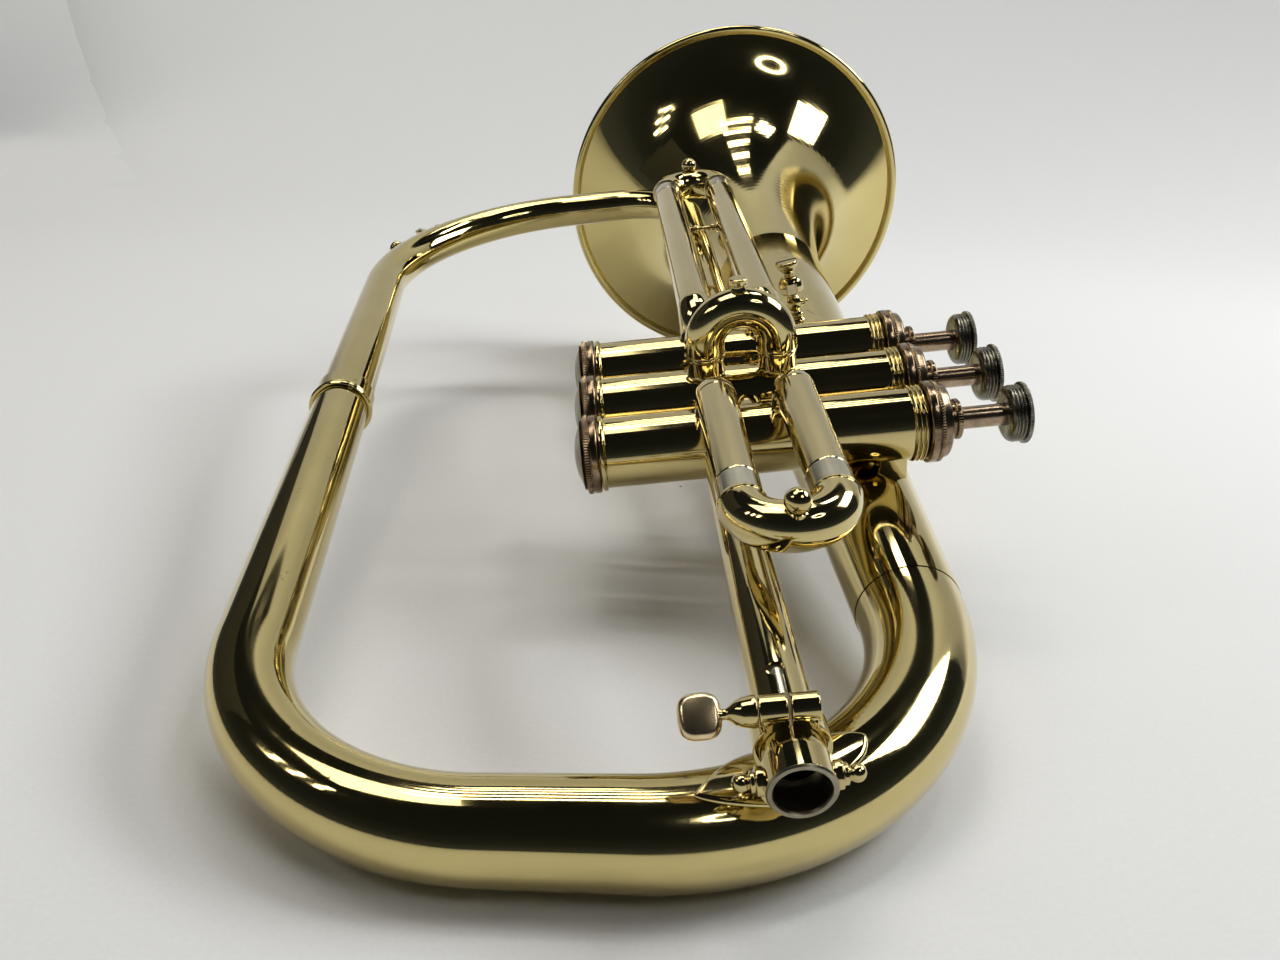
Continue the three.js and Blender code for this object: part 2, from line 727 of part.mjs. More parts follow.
function buildMouthpipe() {
  const end = pipeLength - RECEIVER_LENGTH - GAP;
  const outline = [
    [0, 3.9],
    [0, 4.7],
    [30, 5.0],
    [60, PIPE_RADIUS],
    [end, PIPE_RADIUS],
    [end, PIPE_BORE],
    [60, PIPE_BORE],
  ];
  const pipe = bend(turned(outline, Y, SIDES.crook), pipePath);
  const hole = turned(rodOutline(0, 8, 1.7), Z, SIDES.small);
  const keyhole = moved(hole, PIPE_FRONT.x, KEYHOLE_Y, pipeZ(KEYHOLE_Y));
  const slotEnd = CLAMP_Y - 2;
  const centre = PIPE_REAR.x - 0.2;
  const slot = box(centre - 0.8, centre + 0.8, slotEnd, KEYHOLE_Y, pipeZ(slotEnd), 40);
  add("mouthpipe", cut(pipe, casingRoom(0), keyhole, slot), brass);

  const receiver = [
    [end + GAP, RECEIVER_BORE],
    [end + GAP, RECEIVER_RADIUS - 0.4],
    [end + GAP + 0.6, RECEIVER_RADIUS],
    [pipeLength - 0.3, RECEIVER_RADIUS],
    [pipeLength, RECEIVER_RADIUS - 0.3],
    [pipeLength, RECEIVER_BORE],
  ];
  add("mouthpiece_receiver", bend(turned(receiver, Y), pipePath), brass);
}

function buildClamp() {
  const at = pipeAt(CLAMP_Y);
  const inner = PIPE_RADIUS + GAP;
  const half = CLAMP_WIDTH / 2;
  const band = turned(ringOutline(at - half, at + half, inner, inner + 1.1), Y);
  const centreX = PIPE_REAR.x - 0.2;
  const lug = (from, to) => {
    const barrel = turned(rodOutline(from, to, half), X, 12);
    return moved(barrel, centreX, CLAMP_Y, CLAMP_SCREW_Z);
  };
  const web = (from, to) =>
    box(centreX + from, centreX + to, CLAMP_Y - half, CLAMP_Y + half, pipeZ(CLAMP_Y) + 4, 32);
  const bore = moved(turned(rodOutline(-12, 12, 1.6), X, 12), centreX, CLAMP_Y, CLAMP_SCREW_Z);
  const split = box(centreX - 0.25, centreX + 0.25, CLAMP_Y - 5, CLAMP_Y + 5, 25, 40);
  const pipeRoom = bend(turned(rodOutline(at - 6, at + 6, inner), Y), pipePath);
  const body = join(bend(band, pipePath), lug(-LUG, LUG), web(0.5 - LUG, LUG - 0.5));
  add("mouthpipe_clamp", cut(body, bore, split, pipeRoom), brass);

  const shaft = [
    [-12.5, 0],
    [-11.4, 1.0],
    [-10.4, 0.9],
    [-9.6, 1.5],
    [-8.2, 2.3],
    [-6.5, 2.75],
    [-LUG - GAP, 2.8],
    [-LUG - GAP, 1.3],
    [LUG + GAP, 1.3],
    [LUG + GAP, 0],
  ];
  const paddle = new THREE.Shape();
  const [left, right, tall, corner] = [-18.6, -11.1, 4.1, 2.6];
  paddle.moveTo(left + corner, -tall);
  paddle.lineTo(right - corner, -tall);
  paddle.quadraticCurveTo(right, -tall, right, -tall + corner);
  paddle.lineTo(right, tall - corner);
  paddle.quadraticCurveTo(right, tall, right - corner, tall);
  paddle.lineTo(left + corner, tall);
  paddle.quadraticCurveTo(left, tall, left, tall - corner);
  paddle.lineTo(left, -tall + corner);
  paddle.quadraticCurveTo(left, -tall, left + corner, -tall);
  const options = {
    depth: 1.8,
    curveSegments: 3,
    bevelSize: 0.5,
    bevelThickness: 0.6,
    bevelSegments: 1,
    bevelOffset: -0.5,
  };
  const wing = new THREE.ExtrudeGeometry(paddle, options).translate(0, 0, -0.9);
  wing.rotateX(degrees(WING_TILT));
  const screw = join(turned(shaft, X, 12), wing);
  add("clamp_wing_screw", moved(screw, centreX, CLAMP_Y, CLAMP_SCREW_Z), brass);
}

// A cradle under the receiver with a finial on each side, on a leaf-shaped foot on the rear bow.
function buildBracket() {
  const at = pipeAt(BRACKET_Y);
  const inner = RECEIVER_RADIUS + GAP;
  const centre = new THREE.Vector3(PIPE_REAR.x, BRACKET_Y, pipeZ(BRACKET_Y));
  const hoop = bend(turned(ringOutline(at - 1.9, at + 1.9, inner, inner + 1.1), Y), pipePath);
  const cradle = cut(hoop, box(centre.x - 9, centre.x + 9, -125, -105, centre.z + 1.5, 40));
  const finial = (sign) => {
    const outline = [
      [inner + 0.1, 0],
      [inner + 0.1, 2.5],
      [inner + 1.2, 2.5],
      [inner + 1.3, 1.9],
      [inner + 2.0, 1.9],
      [inner + 2.1, 1.2],
      ...ballOutline(inner + 3.3, 1.6, 6).slice(2),
    ];
    const way = X.clone().multiplyScalar(sign);
    return turned(outline, way, 10).translate(centre.x, centre.y, centre.z - 0.7);
  };
  const bowSkin = (offset) => {
    const from = loopStation(6, 0.4);
    const to = loopStation(7, 0.5);
    const skin = stations(loopPath, from, to, 8).map((s) => [s, loopRadius(s) + offset]);
    return bend(turned([[from, 0], ...skin, [to, 0]], Y, 24), loopPath);
  };
  const leaf = new THREE.Shape();
  leaf.moveTo(-19, 2);
  leaf.lineTo(-3, 0.5);
  leaf.lineTo(6, 5.5);
  leaf.lineTo(13.5, 15.5);
  leaf.lineTo(11.5, 18);
  leaf.lineTo(-5, 16.5);
  leaf.lineTo(-14, 9);
  const prism = new THREE.ExtrudeGeometry(leaf, { depth: 30, bevelEnabled: false });
  prism.translate(centre.x, centre.y, 8);
  const foot = cut(common(bowSkin(GAP + 0.8), prism), bowSkin(GAP));
  const post = box(centre.x - 3, centre.x + 3, -115.6, -110, 12, centre.z - inner + 0.1);
  const stand = cut(post, bowSkin(GAP));
  const body = join(cradle, finial(-1), finial(1), foot, stand);
  const room = bend(turned(rodOutline(at - 5, at + 5, inner), Y), pipePath);
  add("mouthpipe_bracket", cut(body, room), brass);
}

// ---------------------------------------------------------------- small fittings

// Struts that fix the outer casings to the bell branch, on the button side.
function buildSaddles() {
  const branch = (n) => {
    const from = valveY(n) - 8;
    const to = valveY(n) + 8;
    const skin = [from, to].map((y) => [y, bellRadius(y) + GAP]);
    return turned([[from, 0], ...skin, [to, 0]], Y, 72);
  };
  [0, 2].forEach((n) => {
    const block = box(3, 10, valveY(n) - 2.5, valveY(n) + 2.5, 5, valveZ(n) - 4);
    add(`valve_saddle_${n + 1}`, cut(block, casingRoom(n), branch(n)), brass);
  });
}

function buildLyreSocket() {
  const surface = bellRadius(LYRE_Y);
  const lean = degrees(-9);
  const post = [
    [surface - 1, 0],
    [surface - 1, 2.3],
    [surface + 1.8, 2.6],
    [surface + 3.2, 1.7],
    [surface + 4.8, 2.2],
    [surface + 6.6, 2.3],
    [surface + 8.4, 1.7],
    [surface + 9.6, 3.2],
    [surface + 11.6, 3.9],
    [surface + 14.2, 3.6],
    [surface + 15.4, 2.6],
    [surface + 15.4, 0],
  ];
  const diamond = new THREE.Shape();
  diamond.moveTo(-9, 0);
  diamond.lineTo(0, -13);
  diamond.lineTo(9, 0);
  diamond.lineTo(0, 13);
  const prism = new THREE.ExtrudeGeometry(diamond, { depth: 30, bevelEnabled: false });
  prism.translate(0, LYRE_Y, 5);
  const skin = (offset) => {
    const ys = [LYRE_Y - 15, LYRE_Y + 15];
    const outline = ys.map((y) => [y, bellRadius(y) + offset]);
    return turned([[ys[0], 0], ...outline, [ys[1], 0]], Y, 48);
  };
  const foot = cut(common(skin(GAP + 0.6), prism), skin(GAP));
  const bulbZ = surface + 12;
  const socket = box(-1.6, 1.6, LYRE_Y - 6, LYRE_Y + 6, bulbZ - 1.6, bulbZ + 1.6);
  const tap = moved(turned(rodOutline(surface + 12, surface + 17, 1.3), Z, 10), 0, LYRE_Y, 0);
  const pin = turned(rodOutline(1.5, 4.2, 0.9), X, 8).translate(0, LYRE_Y, surface + 5.6);
  const upright = cut(moved(turned(post, Z, 14), 0, LYRE_Y, 0), skin(GAP), socket, tap);
  add("lyre_socket", join(upright, foot, pin).rotateY(lean), brass);

  const screw = [
    [surface + 12.4, 0],
    [surface + 12.4, 1.0],
    [surface + 16.6, 1.0],
    [surface + 17.2, 2.1],
    [surface + 18.6, 3.2],
    [surface + 19.6, 3.5],
    [surface + 20.6, 3.3],
    [surface + 21, 2.6],
    [surface + 21, 0],
  ];
  const slot = box(-4, 4, LYRE_Y - 0.4, LYRE_Y + 0.4, surface + 20.2, surface + 22);
  const turnedScrew = moved(turned(screw, Z, 14), 0, LYRE_Y, 0);
  add("lyre_thumb_screw", cut(turnedScrew, slot).rotateY(lean), brass);
}

// The key that opens the drain hole on the outside of the front left bend. It is drawn
// with the hole on +X and the lever along +Y, then turned into place on the bend.
function buildWaterKey() {
  const arc = loopPath.curves[3];
  const wall = loopRadius(loopStation(3, 0.6));
  const spin = degrees(KEY_ANGLE);
  const reach = arc.spoke.length() + wall;
  const onBend = (geometry) => {
    geometry.rotateZ(spin);
    return geometry.translate(arc.centre.x, arc.centre.y, arc.centre.z);
  };
  const bendSkin = (offset) => {
    const ring = new THREE.CurvePath();
    const spoke = new THREE.Vector3(arc.spoke.length(), 0, 0);
    const start = spoke.clone().applyAxisAngle(Z, -0.5);
    const ahead = new THREE.Vector3(0, 1, 0).applyAxisAngle(Z, -0.5);
    ring.add(new Arc(new THREE.Vector3(), start, ahead, 1));
    const along = stations(ring, 0, ring.getLength(), 6);
    const outline = along.map((s) => [s, wall + offset]);
    return bend(turned([[0, 0], ...outline, [ring.getLength(), 0]], Y, 28), ring);
  };

  const drainY = -9;
  const drainX = Math.sqrt(reach ** 2 - drainY ** 2);
  const nipple = turned(ringOutline(-2, 2.2, 1.5, 2.6), X, 12).translate(drainX, drainY, 0);
  add("water_key_nipple", onBend(cut(nipple, bendSkin(GAP))), brass);

  const pivotX = reach + KEY_LIFT;
  const post = join(
    box(reach - 3, pivotX + 1.6, -1.6, 1.6, -3.6, -2.2),
    box(reach - 3, pivotX + 1.6, -1.6, 1.6, 2.2, 3.6),
    box(reach - 3, reach + 1.4, -2.2, 2.2, -3.6, 3.6),
  );
  const pinHole = turned(rodOutline(-6, 6, 0.75 + GAP), Z, 8).translate(pivotX, 0, 0);
  add("water_key_saddle", onBend(cut(post, pinHole, bendSkin(GAP))), brass);
  const pin = turned(rodOutline(-4.2, 4.2, 0.75), Z, 8).translate(pivotX, 0, 0);
  add("water_key_pin", onBend(pin), steel);

  const cup = turned(rodOutline(drainX + 4.0, drainX + 6.0, 3.1), X, 12).translate(0, drainY, 0);
  const arm = box(pivotX - 1.1, pivotX + 1.1, drainY, 13, -1.4, 1.4);
  const thumb = turned(rodOutline(pivotX - 1.4, pivotX + 0.9, 3.2), X, 12).translate(0, 14, 0);
  const hole = turned(rodOutline(-6, 6, 0.75 + GAP), Z, 8).translate(pivotX, 0, 0);
  add("water_key_lever", onBend(cut(join(cup, arm, thumb), hole)), brass);
  const padOutline = rodOutline(drainX + 2.2 + GAP, drainX + 4.0 - GAP, 2.7);
  add("water_key_cork", onBend(turned(padOutline, X, 12).translate(0, drainY, 0)), cork);
}

// ---------------------------------------------------------------- the whole horn

buildBell();
buildLoop();
for (let i = 0; i < VALVE_COUNT; i++) {
  buildCasing(i);
  buildCaps(i);
  buildPiston(i);
  buildSpring(i);
}
buildValveLinks();
buildLongSlide(1, 0, -1, SLIDE1_MOUTH, SLIDE1_INSERT);
buildSecondSlide();
buildLongSlide(3, 2, 1, SLIDE3_MOUTH, SLIDE3_INSERT);
buildSlideBrace();
buildMouthpipe();
buildClamp();
buildBracket();
buildSaddles();
buildLyreSocket();
buildWaterKey();

// Tip the horn onto its three resting points, then stand it centred on the origin.
horn.quaternion.setFromAxisAngle(X, degrees(REST_PITCH));
horn.quaternion.multiply(new THREE.Quaternion().setFromAxisAngle(Y, degrees(REST_ROLL)));
const extent = new THREE.Box3().setFromObject(place, true);
const centre = extent.getCenter(new THREE.Vector3());
horn.position.set(-centre.x, -centre.y, -extent.min.z);

export default place;
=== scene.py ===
import json
import math

import bmesh
import bpy
import numpy as np
from mathutils import Matrix, Vector


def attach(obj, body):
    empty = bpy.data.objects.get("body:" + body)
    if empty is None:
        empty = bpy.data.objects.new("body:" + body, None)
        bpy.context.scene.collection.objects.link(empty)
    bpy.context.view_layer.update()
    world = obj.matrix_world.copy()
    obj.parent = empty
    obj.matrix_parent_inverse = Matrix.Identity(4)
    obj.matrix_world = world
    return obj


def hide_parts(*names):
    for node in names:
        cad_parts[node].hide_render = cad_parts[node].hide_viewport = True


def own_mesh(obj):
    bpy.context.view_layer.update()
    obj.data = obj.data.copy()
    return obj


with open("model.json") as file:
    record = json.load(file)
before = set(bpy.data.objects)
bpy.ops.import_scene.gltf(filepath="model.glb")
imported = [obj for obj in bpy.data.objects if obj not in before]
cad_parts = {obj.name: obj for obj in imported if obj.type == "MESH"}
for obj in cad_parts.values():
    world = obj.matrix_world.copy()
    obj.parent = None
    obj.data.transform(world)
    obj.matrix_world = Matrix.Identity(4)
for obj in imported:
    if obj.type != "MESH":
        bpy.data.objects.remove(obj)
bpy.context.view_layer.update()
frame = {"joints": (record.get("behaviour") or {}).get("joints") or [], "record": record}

# ------------------------------------------------------------------ horn frame
# Shapes are laid out in millimetres in the horn's own frame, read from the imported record:
# +Y runs along the bell axis to the bell, +X to the finger buttons, +Z out of the upper side,
# y = 0 is the first valve's axis, and x = z = 0 is the bell axis.

MM = 0.001
GAP = 0.3

# valves
VALVES = (0, 1, 2)
VALVE_PITCH = 22.6
VALVE_Z = 24.0
VALVE_RISE = 0.4
CASING_RADIUS = 9.0
CASING_BORE = 8.3
BUTTON_FACE = 39.4
BUTTON_DEPTH = 5.2
STEM_RADIUS = 2.8
PISTON_FOOT = -48.0
CAP_FLOOR = -71.0
SPRING_RADIUS = 5.6

# bell and loop
RIM_Y = 287.0
RIM_RADIUS = 79.0
BEAD_RADIUS = 1.6
SHEET = 0.9
SHEET_EDGE_Y = RIM_Y - BEAD_RADIUS
FIT = 0.18  # keeps smooth curves inside the faceted collision model's box
FLARE_LENGTH = 117.0
FLARE_SOFTNESS = 21.4
FLARE_POWER = 0.7
BELL_TAIL_Y = -44.0
BRANCH_CONE = ((BELL_TAIL_Y, 12.3), (0.0, 13.7), (113.0, 18.9))
REAR_Y = -111.3
LEFT_X_REAR = -139.0
LEFT_X_FRONT = -148.5
FRONT_Y = 218.5
LOOP_Z = 22.3
CROOK_X = -29.0
LOOP_BENDS = (28.0, 70.0, 49.0, 66.0)
FERRULE_Y = 54.0
FERRULE_LENGTH = 10.0

# slides
SLIDE_X = -28.5
SLIDE_SPACING = 19.0
SLIDE_LIFT = 15.2
SLIDE_RADIUS = 4.9
SLIDE_BORE = 4.2
LEG_RADIUS = 3.9
LEG_BORE = 3.2
KNUCKLE_RADIUS = 6.2
SLIDE1_MOUTH = -47.0
SLIDE1_INSERT = 32.0
SLIDE2_MOUTH = 37.2
SLIDE3_MOUTH = 159.2
SLIDE3_INSERT = 60.0
BAND = 7.4
BOW_LEAD = 0.3
BOW_RADIUS = 5.25
BALL_RADIUS = 2.8
BALL_RISE = 6.8
BALL_REACH = 1.6
KNOB_LEAD = 3.6
BRACE_Y = 122.0

# mouthpipe
PIPE_FRONT = (-37.5, -CASING_RADIUS - GAP, 24.0)
PIPE_REAR = (-37.0, -119.0, 25.0)
PIPE_RADIUS = 5.4
PIPE_BORE = 4.7
RECEIVER_RADIUS = 5.95
RECEIVER_BORE = 4.75
RECEIVER_LENGTH = 6.6
CLAMP_Y = -107.0
CLAMP_WIDTH = 5.2
CLAMP_SCREW_Z = 32.0
LUG = 5.1
SLOT_HALF = 0.75
SPLIT_HALF = 0.3
CLEAR_Z = 40.0
WING_TILT = math.radians(33.0)
KEYHOLE_Y = -94.5
BRACKET_Y = -115.0

# fittings
LYRE_Y = 88.0
LYRE_LEAN = math.radians(-9.0)
KEY_ANGLE = math.radians(140.0)
KEY_LIFT = 5.2

ACROSS = np.array((1.0, 0.0, 0.0))
ALONG = np.array((0.0, 1.0, 0.0))
OUT = np.array((0.0, 0.0, 1.0))
SHARP = math.radians(38.0)  # edges that turn more than this stay sharp


def joint(name):
    return next(j for j in frame["joints"] if j["name"] == name)


def mount(name):
    return next(m for m in frame["record"]["mounts"] if m["name"] == name)


def horn_matrix():
    across = -Vector(joint("valve_1_press")["axis"])
    along = Vector(joint("slide_3_pull")["axis"])
    out = Vector(joint("slide_2_pull")["axis"])
    turn = Matrix((across, along, out)).transposed()
    button = Vector(mount("finger_rest_1")["pos_m"])
    origin = button - turn @ Vector((BUTTON_FACE, 0, VALVE_Z)) * MM
    return Matrix.Translation(origin) @ turn.to_4x4() @ Matrix.Scale(MM, 4)


HORN = horn_matrix()


def valve_centre(i):
    return np.array((0.0, i * VALVE_PITCH, VALVE_Z + i * VALVE_RISE))


def linked(name, data):
    thing = bpy.data.objects.new(name, data)
    bpy.context.scene.collection.objects.link(thing)
    return thing


# ------------------------------------------------------------------ camera

CAMERA_AT = (-57.5, -241.4, 158.0)
CAMERA_FORWARD = (-0.02767, 0.85708, -0.51444)
CAMERA_UP = (0.09638, 0.51452, 0.85204)
LENS = 30.55
LENS_SHIFT = (0.0204, 0.0071)


def build_camera():
    bpy.context.scene.view_settings.view_transform = "Standard"
    data = bpy.data.cameras.new("camera")
    data.sensor_width = 36.0
    data.lens = LENS
    data.shift_x, data.shift_y = LENS_SHIFT
    data.clip_start = 0.01
    camera = linked("camera", data)
    turn = HORN.to_3x3().normalized()
    forward = turn @ Vector(CAMERA_FORWARD)
    right = forward.cross(turn @ Vector(CAMERA_UP)).normalized()
    up = right.cross(forward)
    basis = Matrix((right, up, -forward)).transposed().to_4x4()
    camera.matrix_world = Matrix.Translation(HORN @ Vector(CAMERA_AT)) @ basis
    bpy.context.scene.camera = camera


# ------------------------------------------------------------------ floor and light
# In metres, round the point of the floor under the horn; angles run from +X to +Y.

FLOOR_RADIUS = 0.72
WALL_RADIUS = 1.7
WALL_TOP = 2.6
PAPER_TOP = 1.85
RIM_TOP = 0.02
COVE = 1.0
COVE_TURNS = np.linspace(0, math.pi / 2, 16)
BACK_ANGLE = 74.0
BACK_HALF = 57.0
BACK_FADE = 16.0
BACKDROP_GAP = 0.01
FLAG_RADIUS = 0.95
FLAG_HEIGHTS = (0.16, 0.80)
FLAG_SPAN = (126.0, 175.0)
FLAG_STEPS = 24
CEILING = 2.2
HORN_MIDDLE = np.array((0.0, 0.0, 0.05))
ROOM_STOPS = ((0.0, 0.06), (0.22, 0.026), (0.5, 0.015), (1.0, 0.011))
ROOM_TINT = (0.78, 0.88, 1.0)
WHITE = (0.97, 0.985, 1.0)
WARM = (1.0, 0.96, 0.88)


def stage_surface(name, points, faces, material):
    mesh = bpy.data.meshes.new(name)
    mesh.from_pydata(points, [], faces)
    mesh.materials.append(material)
    thing = linked(name, mesh)
    return thing


def quads(rows, count, closed=False):
    """The faces between rows of `count` points that each go once round; `closed` joins the
    last row to the first."""
    faces = []
    for row in range(rows if closed else rows - 1):
        low, high = row * count, (row + 1) % rows * count
        for k in range(count):
            after = (k + 1) % count
            faces.append((low + k, low + after, high + after, high + k))
    return faces


def ring_surface(name, rings, material, segments=96):
    """A surface of revolution round +Z, from (radius, height) pairs or functions of angle."""
    points = []
    for ring in rings:
        for k in range(segments):
            a = 2 * math.pi * k / segments
            radius, height = ring(a) if callable(ring) else ring
            points.append((radius * math.cos(a), radius * math.sin(a), height))
    thing = stage_surface(name, points, quads(len(rings), segments), material)
    thing.data.shade_smooth()
    return thing


def paper_top(a):
    """How high the paper sweep stands in the direction a: tall behind, a low rim elsewhere."""
    off_back = abs((math.degrees(a) - BACK_ANGLE + 180) % 360 - 180)
    share = min(1.0, max(0.0, (BACK_HALF - off_back) / BACK_FADE))
    return RIM_TOP + (PAPER_TOP - RIM_TOP) * share * share * (3 - 2 * share)


def paper_material():
    nodes = Nodes("paper_sweep")
    speckle = nodes.noise(scale=900.0, detail=3.0)
    tones = ((0.3, (0.785, 0.79, 0.79)), (0.7, (0.815, 0.82, 0.82)))
    nodes.set("Base Color", nodes.ramp(speckle, tones))
    nodes.set("Roughness", 0.7)
    nodes.set("Specular IOR Level", 0.2)
    nodes.set("Normal", nodes.bump(speckle, 0.04, 0.0002))
    return nodes.material


def build_paper(material):
    """A pale paper sweep: flat under the horn, curving up all round, tall at the back."""

    def curve(turn):
        radius = FLOOR_RADIUS + (WALL_RADIUS - FLOOR_RADIUS) * math.sin(turn)
        return lambda a: (radius, min(paper_top(a), COVE) * (1 - math.cos(turn)))

    def straight(share):
        return lambda a: (WALL_RADIUS, max(0.0, paper_top(a) - COVE) * share + min(paper_top(a), COVE))

    rings = [(radius, 0.0) for radius in (0.0005, 0.1, 0.3, 0.5, FLOOR_RADIUS)]
    rings += [curve(turn) for turn in COVE_TURNS[1:]]
    rings += [straight(share) for share in (0.33, 0.66, 1.0)]
    ring_surface("floor", rings, material)


def build_backdrop(material):
    """The same sweep at full height all round, which only the camera sees."""
    foot, wall = FLOOR_RADIUS + BACKDROP_GAP, WALL_RADIUS + BACKDROP_GAP
    rings = [(foot + (wall - foot) * math.sin(t), COVE * (1 - math.cos(t))) for t in COVE_TURNS]
    rings += [(wall, z) for z in (1.2, 1.8, WALL_TOP)]
    backdrop = ring_surface("backdrop", rings, material)
    for ray in ("glossy", "diffuse", "shadow", "transmission"):
        setattr(backdrop, f"visible_{ray}", False)


def build_flag():
    """A black cloth flag, out of the camera's sight, that keeps the left side of the set dark."""
    nodes = Nodes("flag_cloth")
    weave = nodes.noise(scale=400.0, detail=2.0)
    nodes.set("Base Color", nodes.ramp(weave, ((0.3, (0.02, 0.02, 0.02)), (0.7, (0.04, 0.04, 0.035)))))
    nodes.set("Roughness", 0.9)
    points = []
    for z in FLAG_HEIGHTS:
        for a in np.radians(np.linspace(*FLAG_SPAN, FLAG_STEPS)):
            points.append((FLAG_RADIUS * math.cos(a), FLAG_RADIUS * math.sin(a), z))
    faces = [(k, k + 1, k + 1 + FLAG_STEPS, k + FLAG_STEPS) for k in range(FLAG_STEPS - 1)]
    flag = stage_surface("flag", points, faces, nodes.material)
    flag.visible_camera = False


def area_light(name, at, size, radiance, aim=(0.0, 0.0, 0.0), colour=(1.0, 1.0, 1.0)):
    data = bpy.data.lights.new(name, "AREA")
    data.shape = "RECTANGLE"
    data.size, data.size_y = size
    data.energy = radiance * math.pi * size[0] * size[1]
    data.color = colour
    light = linked(name, data)
    light.location = at
    light.rotation_euler = (Vector(aim) - Vector(at)).to_track_quat("-Z", "Y").to_euler()


def build_world():
    """A dark room, a little lighter low down."""
    world = bpy.data.worlds.new("studio")
    bpy.context.scene.world = world
    world.use_nodes = True
    tree = world.node_tree
    tree.nodes.clear()
    kinds = ("TexCoord", "SeparateXYZ", "ValToRGB", "Background", "OutputWorld")
    chain = [tree.nodes.new(f"ShaderNode{kind}") for kind in kinds]
    for output, source, target in zip(("Generated", "Z", 0, 0), chain, chain[1:]):
        tree.links.new(source.outputs[output], target.inputs[0])
    stops = chain[2].color_ramp.elements
    for i, (at, value) in enumerate(ROOM_STOPS):
        stop = stops[i] if i < 2 else stops.new(at)
        stop.position = at
        stop.color = (*(value * tint for tint in ROOM_TINT), 1.0)


def towards(azimuth, elevation, distance):
    """A place `distance` metres from the horn; azimuth runs clockwise from +Y."""
    a, e = math.radians(azimuth), math.radians(elevation)
    ray = np.array((math.sin(a) * math.cos(e), math.cos(a) * math.cos(e), math.sin(e)))
    return tuple(HORN_MIDDLE + distance * ray)


def build_ring_lamp():
    """A round lamp over the photographer's shoulder, seen as a small ring in every bow."""
    material = bpy.data.materials.new("ring_lamp")
    material.use_nodes = True
    tree = material.node_tree
    glow = tree.nodes.new("ShaderNodeEmission")
    glow.inputs["Strength"].default_value = 9.0
    tree.links.new(glow.outputs[0], tree.nodes["Material Output"].inputs["Surface"])
    ring = ring_surface("ring_lamp", [(0.12, 0.0), (0.165, 0.0)], material, 48)
    ring.location = (0.42, -0.70, 0.97)
    ring.visible_camera = False


def build_lights():
    """Ceiling strips in a row over the horn, a near panel to the right, one overhead to the
    left, a few narrow lamps low on the left, and a ring lamp behind."""
    for n, y in enumerate((0.27, 0.58, 0.92, 1.27, 1.62)):
        width = 0.95 - 0.12 * n
        area_light(f"strip_{n + 1}", (-0.12, y, CEILING), (width, 0.11), 9.0, (-0.12, y, 0), WARM)
    area_light("panel_right", (0.88, 0.12, 0.84), (0.62, 0.40), 10.0, colour=WHITE)
    area_light("panel_back", (0.75, 0.62, CEILING), (0.55, 0.35), 14.0, (0.3, 1.3, 0.2), WHITE)
    area_light("panel_overhead", (-0.62, 0.06, 1.55), (0.72, 0.72), 3.2, (-0.62, 0.06, 0), WARM)
    for n, azimuth in enumerate((-101, -110, -119)):
        lamp = towards(azimuth, 33 + 3 * n, 1.25)
        area_light(f"lamp_left_{n + 1}", lamp, (0.05, 0.22), 9.0, colour=WARM)
    build_ring_lamp()


# ------------------------------------------------------------------ materials


class Nodes:
    """A procedural material, with short names for the nodes that it is made of."""

    def __init__(self, name):
        self.material = bpy.data.materials.new(name)
        self.material.use_nodes = True
        self.tree = self.material.node_tree
        self.shader = self.tree.nodes["Principled BSDF"]
        self.where = self.tree.nodes.new("ShaderNodeTexCoord").outputs["Object"]

    def put(self, socket, value):
        """Links a node's output to a socket, or sets the socket's own value."""
        if hasattr(value, "is_output"):
            self.tree.links.new(value, socket)
        else:
            socket.default_value = value

    def set(self, socket, value):
        self.put(self.shader.inputs[socket], value)

    def add(self, kind, **inputs):
        """A new node, with its inputs by name, an underscore standing for a space."""
        node = self.tree.nodes.new(f"ShaderNode{kind}")
        for name, value in inputs.items():
            self.put(node.inputs[name.replace("_", " ")], value)
        return node

    def stretched(self, scale):
        return self.add("Mapping", Scale=scale, Vector=self.where).outputs[0]

    def noise(self, scale, detail=4.0, roughness=0.55, vector=None):
        vector = vector or self.where
        node = self.add("TexNoise", Scale=scale, Detail=detail, Roughness=roughness, Vector=vector)
        return node.outputs["Fac"]

    def ramp(self, value, stops):
        node = self.add("ValToRGB", Fac=value)
        for stop, (at, colour) in zip(node.color_ramp.elements, stops):
            stop.position = at
            stop.color = (*colour, 1.0)
        return node.outputs[0]

    def spread(self, value, low, high, start=0.3, stop=0.7):
        """A value's range from start to stop, stretched to the range from low to high."""
        ranges = {"From_Min": start, "From_Max": stop, "To_Min": low, "To_Max": high}
        return self.add("MapRange", Value=value, **ranges).outputs[0]

    def times(self, a, b):
        node = self.add("Math")
        node.operation = "MULTIPLY"
        self.put(node.inputs[0], a)
        self.put(node.inputs[1], b)
        return node.outputs[0]

    def mix(self, factor, a, b):
        node = self.add("Mix")
        node.data_type = "RGBA"
        self.put(node.inputs[0], factor)
        for socket, value in ((node.inputs[6], a), (node.inputs[7], b)):
            self.put(socket, (*value, 1.0) if isinstance(value, tuple) else value)
        return node.outputs[2]

    def bump(self, height, strength, distance, **below):
        return self.add("Bump", Strength=strength, Distance=distance, Height=height, **below).outputs[0]


